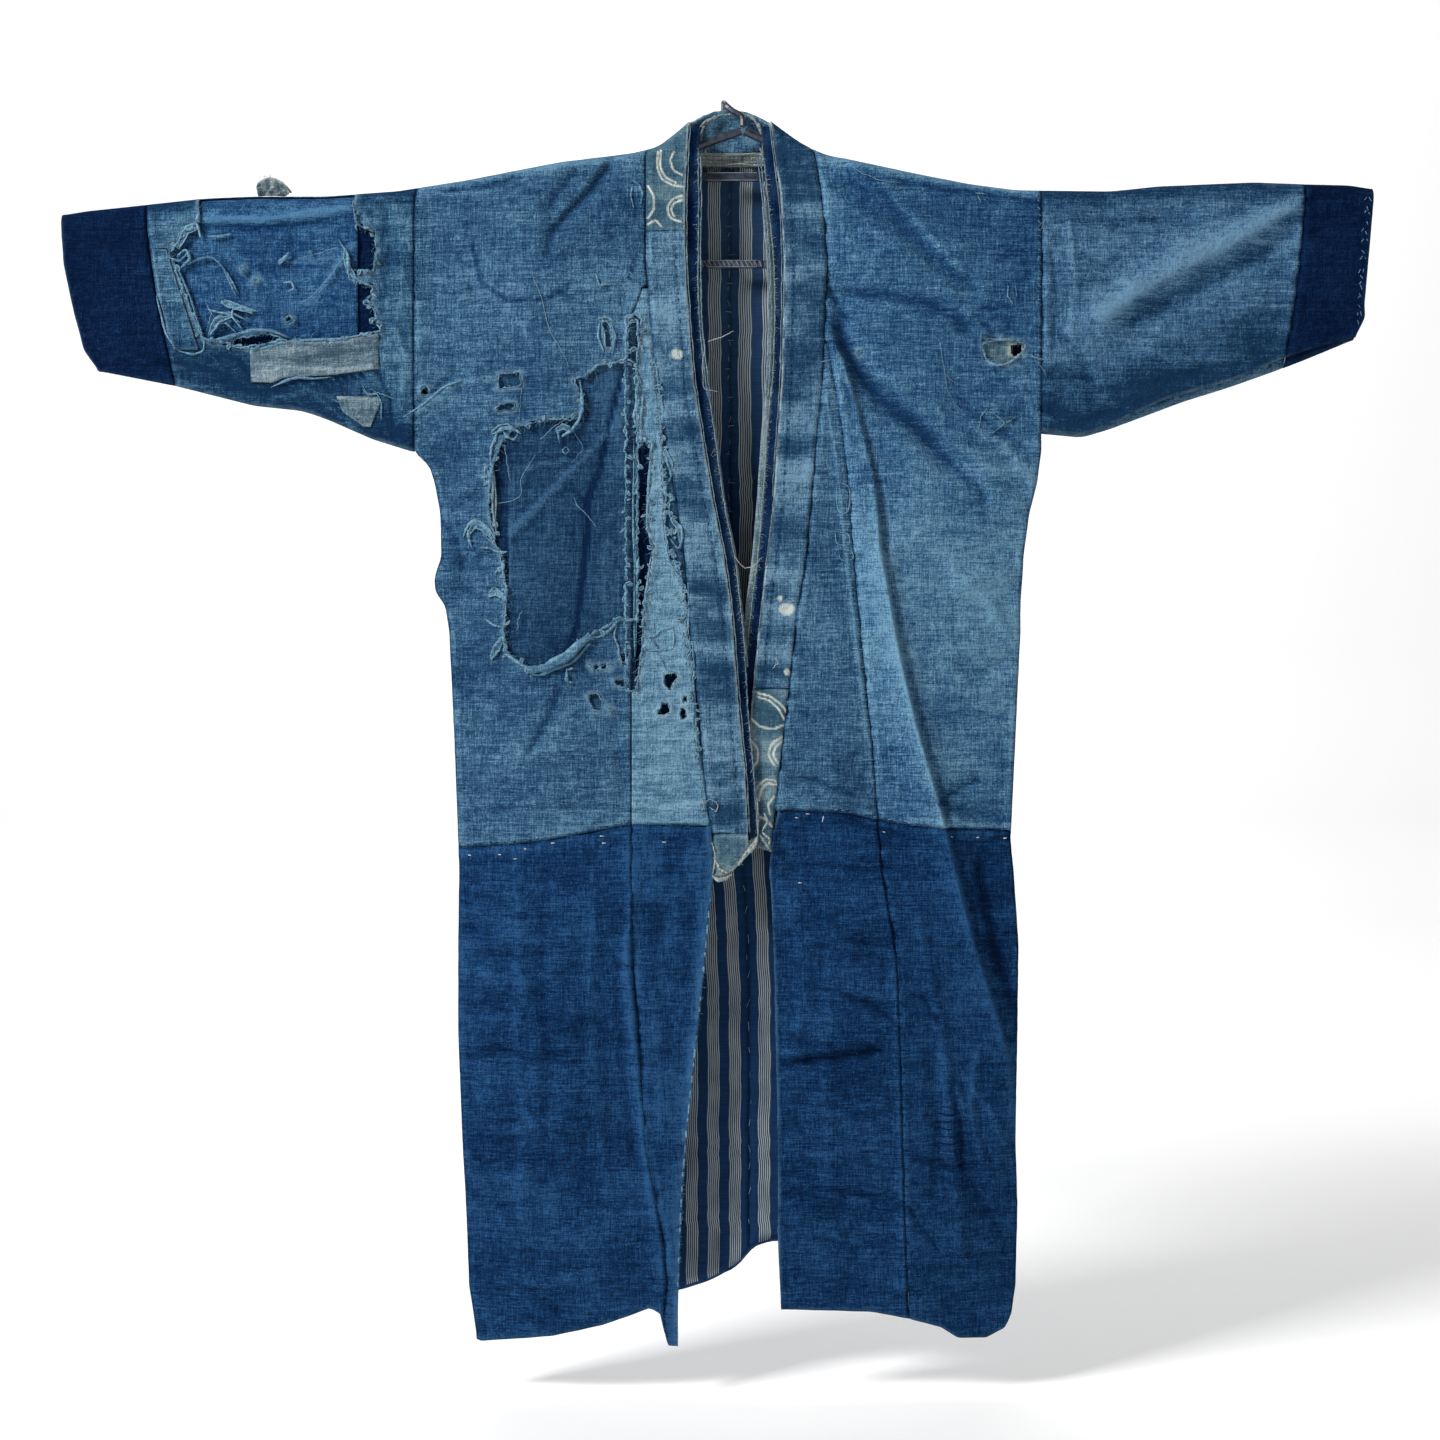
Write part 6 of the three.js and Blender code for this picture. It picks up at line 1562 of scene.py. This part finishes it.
rolls("rags_left", [
    ((262, -312, 272, -316, 283, -325, 272, -333, 267, -338), 1.1, 0.2),
    ((283, -325, 294, -318), 0.9, 0.2),
    ((258, -247, 270, -242, 284, -242, 296, -241, 303, -248), 1.4, 0.3),
    ((303, -248, 296, -258, 284, -266, 272, -268, 262, -262, 259, -250), 1.2, 0.3),
    ((303, -256, 312, -259, 319, -262), 0.6, 0.2), ((132, -258, 136, -251, 141, -256), 0.7, 0.2),
    ((113, -386, 125, -388, 126, -402, 124, -418, 114, -417, 112, -402, 113, -386), 0.7, 0.1),
    ((111, -435, 125, -437, 126, -449, 112, -448, 111, -435), 0.7, 0.1),
    ((114, -452, 128, -454, 130, -463, 116, -464, 114, -452), 0.8, 0.1),
    ((131, -457, 137, -461), 1.2, 0.2), ((285, -188, 284, -198, 290, -206), 0.8, 0.1),
    ((292, -186, 294, -200), 0.7, 0.1), ((252, -95, 262, -96), 0.9, 0.3),
    ((254, -98, 258, -106), 0.5, 0.3),
], left_face, frayed, FRONT_L, 127)

# Loose threads and the stitches that show

thread_pale = cloth("pale_thread", (150, 160, 164), (186, 194, 196), (216, 220, 216), streak=0.4)
thread_blue = cloth("blue_thread", (70, 104, 134), (112, 146, 170), (146, 174, 190), streak=0.4)
thread_dark = cloth("dark_thread", (8, 20, 44), (16, 34, 62), (34, 58, 90), streak=0.4)


def loose(name, rows, face, material, sheet, seed):
    """Loose threads: long thin tubes along given paths, wavering a little."""
    random = np.random.default_rng(seed)
    paths = []
    for points, lift in rows:
        line = drawn(points, THREAD_POINTS)
        s = np.linspace(0, 1, THREAD_POINTS)
        x = line[:, 0] + 0.7 * noise(s * 60, 0 * s + random.uniform(0, 50), 5, 1, seed)
        z = line[:, 1] + 0.7 * noise(s * 60, 0 * s + random.uniform(0, 50), 5, 1, seed + 1)
        y = face(x, z)[0] - 0.6 - lift * np.sin(np.pi * s) - 0.3 * noise(s * 50, 0 * s, 4, 1, seed + 2)
        paths.append(np.stack([x, y, z], axis=-1))
    taper = np.sin(np.pi * (0.03 + 0.94 * np.linspace(0, 1, THREAD_POINTS))) ** 0.3
    shade = random.uniform(-0.4, 0.4, len(paths))
    return tubes(name, np.array(paths), 0.38 * taper, material, sheet, 5, shade)


loose("threads_front", [
    ((-192, -176, -181, -205, -175, -231, -163, -253, -154, -272), 0.3),
    ((-201, -277, -203, -300, -205, -328), 0.3), ((-220, -347, -217, -366, -214, -383), 1.0),
    ((-189, -358, -198, -372, -204, -383, -202, -398, -214, -405, -229, -406), 1.5),
    ((-159, -323, -172, -332, -184, -343), 1.0), ((-202, -513, -206, -522, -207, -533), 0.6),
    ((-256, -204, -240, -200, -222, -206), 0.3), ((-307, -355, -302, -362, -297, -366), 1.0),
    ((-128, -430, -135, -420, -146, -410, -150, -400), 0.3), ((-240, -437, -232, -446, -224, -452), 0.6),
    ((-150, -335, -140, -352, -152, -366), 0.6), ((-226, -450, -222, -470, -220, -490), 0.5),
], right_face, thread_blue, FRONT_R, 131)
loose("threads_sleeve", [
    ((-379, -153, -395, -178, -412, -196, -424, -204), 0.6), ((-384, -147, -410, -156, -429, -160), 0.6),
    ((-364, -286, -356, -300, -346, -312), 0.8), ((-388, -308, -370, -317, -352, -322), 0.4),
    ((-520, -205, -514, -214, -518, -226), 0.8), ((-416, -246, -413, -236, -409, -232), 0.8),
    ((-330, -300, -344, -296, -356, -290), 0.3),
], right_face, thread_blue, SLEEVE_R, 132)
loose("threads_left", [
    ((210, -239, 217, -245, 217, -259, 221, -276, 223, -294, 232, -306, 238, -314), 0.5),
    ((221, -276, 226, -282, 232, -286), 0.4), ((123, -68, 138, -78, 158, -86, 176, -87), 0.5),
    ((316, -127, 322, -122, 318, -131), 0.8), ((313, -262, 321, -272, 325, -280), 0.8),
    ((303, -254, 312, -259, 322, -261), 0.5), ((264, -310, 258, -318, 256, -330), 0.3),
], left_face, thread_blue, FRONT_L, 133)
loose("threads_collar", [
    ((11, -460, 16, -468, 23, -472, 31, -469, 38, -460), 1.2),
    ((-19, -248, -22, -270, -20, -293, -6, -295), 1.0), ((-16, -245, -4, -242, 9, -235), 1.0),
    ((-20, -706, -14, -701, -6, -707, -8, -715, -15, -709), 0.8),
    ((-24, -700, -20, -706, -22, -714), 0.6), ((50, -560, 54, -566, 48, -572), 0.4),
], band_face_right, thread_pale, "robe_collar_right", 134)

TACKS = [
    (-256, -759), (-225, -758), (-209, -762), (-199, -752), (-171, -746), (-120, -746), (-122, -739),
    (-60, -745)]
TACKS_LEFT = [
    (73, -721), (84, -717), (99, -722), (228, -740), (255, -741), (283, -742), (160, -735), (76, -786)]
stitches("tacks_right", [(x, z, 3.2, 0.1 * (i % 3 - 1)) for i, (x, z) in enumerate(TACKS)], right_face,
         thread_pale, LOW_R, 141, 0.55, 0.5)
stitches("tacks_left", [(x, z, 6 if i == 2 else 3.2, 1.4 if i == 2 else 0.2 * (i % 3 - 1)) for i,
         (x, z) in enumerate(TACKS_LEFT)], left_face, thread_pale, LOW_L, 142, 0.55, 0.5)
stitches("darning_left", np.concatenate([[(221 + 2 * np.sin(k * 1.7), -1010 - k * 7.4, 19,
         0.03 * (-1) ** k) for k in range(9)], row_of_stitches(down(overlap_left, -760, -1210), 19, 7, 143,
         0.6, 1.5)]), left_face, thread_dark, LOW_L, 144, 0.5, 0.3)
stitches("seam_stitches_left", np.concatenate([row_of_stitches(down(overlap_left, -262, -700, shift=-5),
         16, 9, 145, 0.6, 1.55), row_of_stitches(down(armhole_left, -100, -330, shift=-3), 7, 3, 146, 0.5,
         1.2), row_of_stitches(over(waist_front, 100, 285, shift=3), 8, 3.5, 147, 0.4)]), left_face,
         thread_blue, FRONT_L, 148, 0.35)
stitches("seam_stitches_right", np.concatenate([
    row_of_stitches(over(waist_front, -262, -98, shift=3), 8, 3.5, 149, 0.4),
    row_of_stitches(down(armhole_right, -100, -345, shift=3), 9, 3, 150, 0.4, 0.2),
    [(-301, -200, 3, 0.1), (-288, -240, 3, 0.2)]]), right_face, thread_dark, FRONT_R, 151, 0.35)
stitches("collar_stitches", np.concatenate([row_of_stitches(down(fold_right, -140, -730, shift=-9), 9, 3.2,
         152, 0.3), [(-22, -346, 13, 0.05), (-26, -300, 6, 0.4)]]), band_face_right, thread_dark,
         "robe_collar_right", 153, 0.34)
stitches("collar_stitches_left", np.concatenate([
    row_of_stitches(down(fold_left, -60, -585, shift=9), 9, 3.2, 154, 0.3), [(52, -352, 12, 0.1)]]),
    band_face_left, thread_dark, "robe_collar_left", 155, 0.34)
stitches("cuff_stitches_right", row_of_stitches(down(cuff_end_right, -124, -255, shift=4), 8, 4, 156, 0.5),
         right_face, thread_dark, "robe_cuff_right_front", 157, 0.45)
stitches("cuff_stitches_left", np.concatenate([row_of_stitches(down(cuff_end_left, -95, -226, shift=-4), 9,
         5, 158, 0.8, 0.5), row_of_stitches(down(cuff_end_left, -95, -222, shift=-7), 14, 4, 159, 0.8,
         -0.6)]), left_face, thread_blue, "robe_cuff_left_front", 160, 0.36)

# Piped and frayed edges of the collar, the neck and the feet
inner_face_right = behind(smooth_right, NAVY_INSET)
inner_face_left = behind(smooth_left, NAVY_INSET)
edging = cloth("worn_edging", (70, 90, 102), (116, 132, 138), (176, 184, 178), streak=0.6)
edge_cord = cloth("edge_cord", (62, 90, 108), (104, 130, 144), (158, 174, 178), streak=0.6)


def piped(name, lines, face, sheet, radius, seed, material=None):
    """A thin rough cord along each edge path, thick and thin by turns."""
    paths = []
    fat = []
    for index, line in enumerate(lines):
        path = drawn(line, PIPING_POINTS)
        s = np.linspace(0, 1, PIPING_POINTS)
        x = path[:, 0] + 0.5 * noise(s * 300, 0 * s + index, 5, 1, seed)
        y = face(x, path[:, 1])[0] - 0.3 * radius
        paths.append(np.stack([x, y, path[:, 1]], axis=-1))
        fat.append(radius * (1 + 0.45 * noise(s * 300, 0 * s + index, 3.5, 1, seed + 1)))
    return tubes(name, np.array(paths), np.array(fat), material or edge_cord, sheet, 6)


piped("piping_right", [down(fold_right, -30, -400), down(fold_right, -380, -735),
                       down(fold_right, -30, -400, shift=1.9), down(fold_right, -380, -735, shift=1.9)],
      band_face_right, "robe_collar_right", 0.5, 161)
piped("piping_left", [down(fold_left, -30, -400), down(fold_left, -380, -740),
      down(fold_left, -30, -400, shift=-1.9)], band_face_left, "robe_collar_left", 0.5, 162)
piped("lining_piping_right", [down(navy_right, -52, -300), down(navy_right, -290, -560, shift=1),
                              down(navy_right, -60, -300, shift=2.6), down(navy_right, -560, -735)],
      inner_face_right, "robe_collar_inner_right", 0.7, 163)
piped("lining_piping_left", [down(navy_left, -50, -300), down(navy_left, -290, -560, shift=-1),
                             down(navy_left, -60, -300, shift=-3.4), down(navy_left, -60, -300, shift=-6)],
      inner_face_left, "robe_collar_inner_left", 0.7, 164)
fringe("fray_navy_right", [down(navy_right, -735, -50)], inner_face_right, edging,
       "robe_collar_inner_right", 4.5, 2.0, 165, True)
fringe("fray_navy_left", [down(navy_left, -50, -570)], inner_face_left, edging,
       "robe_collar_inner_left", 4.5, 2.0, 166, True)
FOOT_RIGHT = [(-12, -779), (-4, -781), (4, -777), (14, -768), (24, -750), (33, -740)]
FOOT_LEFT = [(22, -751), (34, -750), (46, -755)]
fringe("fray_foot_right", [FOOT_RIGHT, FOOT_RIGHT], band_face_right, edging,
       "robe_collar_right_end", 7, 0.7, 167, True)
fringe("fray_foot_left", [FOOT_LEFT, FOOT_LEFT], band_face_left, edging, "robe_collar_left_dyed",
       6, 0.7, 168, True)
rolls("rags_foot", [
    ((-12, -778, -6, -783, 2, -781, 8, -777), 1.9, 0.2),
    ((14, -768, 22, -757, 30, -750, 34, -738), 2.0, 0.2), ((16, -764, 24, -753, 33, -742), 1.4, 1.2),
    ((-10, -760, -4, -772, 4, -776), 1.4, 0.4), ((33, -699, 34, -720, 34, -740), 1.2, 0.3),
    ((36, -738, 42, -746, 47, -754), 1.8, 0.2), ((38, -735, 46, -742, 44, -752), 1.3, 1.0),
    ((40, -716, 44, -724, 38, -734), 1.3, 0.6), ((-12, -745, -8, -760, -11, -776), 1.1, 0.2),
], band_face_right, edging, "robe_collar_right_end", 169)
fringe("fray_edge_right", [down(edge_right, -790, -1195)], right_face, frayed,
       "robe_overlap_lower_right", 3.0, 2.4, 170, True)
rolls("slubs_edge_right", [([(float(edge_right(np.array(z))) - 0.8, z),
      (float(edge_right(np.array(z - 5 - k % 4 * 2))) - 0.4, z - 5 - k % 4 * 2)], 0.8 + 0.25 * (k % 3),
      -0.2) for k, z in enumerate(np.arange(-800, -1195, -13.7))], right_face, frayed,
      "robe_overlap_lower_right", 171, 6, 12)
piped("edge_left_piping", [down(edge_left, -760, -1000, shift=0.6),
      down(edge_left, -980, -1205, shift=0.6)], left_face, "robe_overlap_lower_left", 0.5, 172,
      frayed)


def neck_face(x, z):
    """Just in front of the back collar's inner side, for what lies in the neck."""
    across = np.clip((x - NECK_FOLD[0]) / 44, -1, 1)
    return 13.5 * np.sqrt(1 - across ** 2) - 2.5, 0 * x


rolls("neck_edging", [
    ((-24, -34, -21, -24, -16, -16, -8, -12, 0, -9), 1.7, 0.0),
    ((0, -10, 10, -9, 20, -9, 28, -12), 1.3, 0.0), ((28, -12, 35, -20, 38, -30, 39, -44), 1.8, 0.0),
    ((-22, -30, -24, -40, -19, -47, -17, -54), 1.6, 0.0), ((-26, -26, -18, -17, -6, -13), 1.1, 1.4),
    ((22, -10, 32, -17, 36, -28), 1.1, 1.4), ((-20, -36, -16, -42, -20, -48), 1.2, 1.0),
    ((36, -44, 40, -52, 39, -62), 1.4, 0.4), ((-30, -52, -10, -50, 14, -51, 36, -50), 1.0, 3.0),
    ((-30, -60, -8, -62, 16, -60, 36, -62), 0.9, 3.0),
], neck_face, edging, "robe_neck_strip", 173)
fringe("neck_fray", [[(34, -62), (16, -61), (-6, -62), (-24, -61)]], lambda x,
       z: (15.5 - 0.0025 * (x - 6) ** 2, 0 * x), edging, "robe_neck_strip", 8, 0.9, 174, True)


def lining_front(x, z):
    """Just in front of the lining, for the stitches that show on it."""
    y, tone = lining_face(x, z)
    return y - 1.2, tone


stitches("lining_tacks", np.concatenate([[(float(lining_seam(np.array(z))) + 1.5 * np.sin(z), z, 6,
         0.1 * np.sin(3 * z)) for z in np.arange(-121, -560, -29.0)],
         row_of_stitches(down(lining_seam, -80, -560, shift=-1), 19, 6, 175, 0.5),
         row_of_stitches(down(lining_seam, -760, -1145), 24, 7, 176, 0.6)]), lining_front,
         thread_blue, "robe_lining_right", 177, 0.28)

# The tuft above the sleeve, and its fray
TUFT_COLUMNS = 40
TUFT_ROWS = 22
u, v = np.meshgrid(np.linspace(0, 1, TUFT_COLUMNS), np.linspace(0, 1, TUFT_ROWS))
x = -470 + 35 * u - 6 * v * u
rise = (1 - v) * 18 * np.maximum(0.12, np.sin(np.pi * (0.22 + 0.74 * u)) ** 0.8)
z = shoulder(x) + 0.3 + rise
crumple = noise(u * 36, v * 18, 4.5, 4.5, 181)
y = -0.2 - 6 * np.sin(2.4 * (1 - v)) - 1.4 * crumple - 0.8 * noise(u * 36, v * 18, 2.2, 2.2, 182)
a = grid_corners(TUFT_ROWS, TUFT_COLUMNS)
faces = np.stack([a, a + TUFT_COLUMNS, a + TUFT_COLUMNS + 1, a + 1], axis=1)
rim = np.maximum(np.exp(-(((1 - u) / 0.06) ** 2)), np.exp(-((v / 0.1) ** 2)))
# The tuft's tone is painted light, paler where the crumple stands out; the pale rim is a worn edge.
tuft = build("torn_tuft_cloth", np.stack([x, y, z], -1).reshape(-1, 3), faces, edging,
             {"tone": (0.6 * crumple - 0.2).ravel(), "wear_and_painted_light": (0.8 * rim).ravel()}, 1.1)
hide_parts("torn_tuft")
fringe("fray_tuft", [[(-468, -78), (-460, -76), (-446, -82), (-438, -90)]], lambda x,
       z: (0 * x - 4.0, 0 * x), edging, "torn_tuft_cloth", 4, 0.8, 183, True)

# Painted highlights along the edges of the hanger's bars, and the ribs of the lower one, pale as painted
# highlights
bar_highlight_plastic = plastic("painted_highlight_plastic", ((96, 104, 116), (150, 158, 168)))
bar = np.linspace(-17, 33, 20)
bar_rows = np.array([np.stack([bar, 0 * bar + y, 0 * bar + z], -1)
                     for y, z in ((-3.1, -71.8), (-3.1, -79.2), (-4.1, -160.3), (-4.1, -166.7))])
tubes("hanger_bar_edge_highlights", bar_rows, 0.42, bar_highlight_plastic, None)
ribs = np.arange(-20, 36, 4.6)
slant = np.linspace(0, 1, 6)
rib_rows = np.stack([ribs[:, None] + 3.0 * slant, 0 * ribs[:, None] - 4.1 + 0 * slant,
                     0 * ribs[:, None] - 160.6 - 5.8 * slant], -1)
tubes("hanger_bar_ribs", rib_rows, 0.5, bar_highlight_plastic, None)

for start, finish in (("hanger", hanger_plastic), ("torn", frayed)):
    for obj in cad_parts.values():
        if obj.name.startswith(start):
            obj.data.materials.clear()
            obj.data.materials.append(finish)

# Stage, lights and camera, in metres

FLOOR = -1.30
HALF_WIDTH = 7.0
backdrop_profile = [(-7.0, 0.0), (3.4, 0.0), (4.2, 0.08), (4.8, 0.36), (5.1, 0.9), (5.2, 7.0)]
stage_points = [(x, y, z + FLOOR) for y, z in backdrop_profile for x in (-HALF_WIDTH, HALF_WIDTH)]
stage_faces = [(2 * i, 2 * i + 1, 2 * i + 3, 2 * i + 2) for i in range(len(backdrop_profile) - 1)]
stage_mesh = bpy.data.meshes.new("backdrop")
stage_mesh.from_pydata(stage_points, [], stage_faces)
stage_mesh.polygons.foreach_set("use_smooth", np.full(len(stage_mesh.polygons), True))
stage = bpy.data.objects.new("backdrop", stage_mesh)
bpy.context.scene.collection.objects.link(stage)
stage_material = bpy.data.materials.new("backdrop_white")
stage_material.use_nodes = True
for socket, value in (("Base Color", (0.75, 0.75, 0.75, 1)), ("Roughness", 0.9),
                      ("Emission Color", (1, 1, 1, 1)), ("Emission Strength", 0.3)):
    stage_material.node_tree.nodes["Principled BSDF"].inputs[socket].default_value = value
stage_mesh.materials.append(stage_material)


def area_light(name, place, aim, size, power):
    """A soft square light that looks from place to aim."""
    data = bpy.data.lights.new(name, "AREA")
    data.size = size
    data.energy = power
    lamp = bpy.data.objects.new(name, data)
    lamp.location = place
    direction = mathutils.Vector(np.array(aim) - np.array(place))
    lamp.rotation_euler = direction.to_track_quat("-Z", "Y").to_euler()
    bpy.context.scene.collection.objects.link(lamp)
    return lamp


area_light("key_light", (-3.0, -2.3, 2.0), (0, 0, -0.6), 1.1, 240)
area_light("fill_light", (1.8, -2.4, 0.4), (0, 0, -0.6), 1.6, 5)
area_light("wall_light", (0, 2.2, 3.4), (0, 5.1, 0.2), 3.0, 130)

world = bpy.data.worlds.new("studio")
world.use_nodes = True
world.node_tree.nodes["Background"].inputs["Color"].default_value = (1, 1, 1, 1)
world.node_tree.nodes["Background"].inputs["Strength"].default_value = 0.12
bpy.context.scene.world = world

camera_data = bpy.data.cameras.new("camera")
camera_data.lens = 55.0
camera = bpy.data.objects.new("camera", camera_data)
camera.location = (-0.004, -2.245, -0.623)
camera.rotation_euler = (np.pi / 2, 0, 0)
bpy.context.scene.collection.objects.link(camera)
bpy.context.scene.camera = camera
bpy.context.scene.view_settings.view_transform = "Standard"
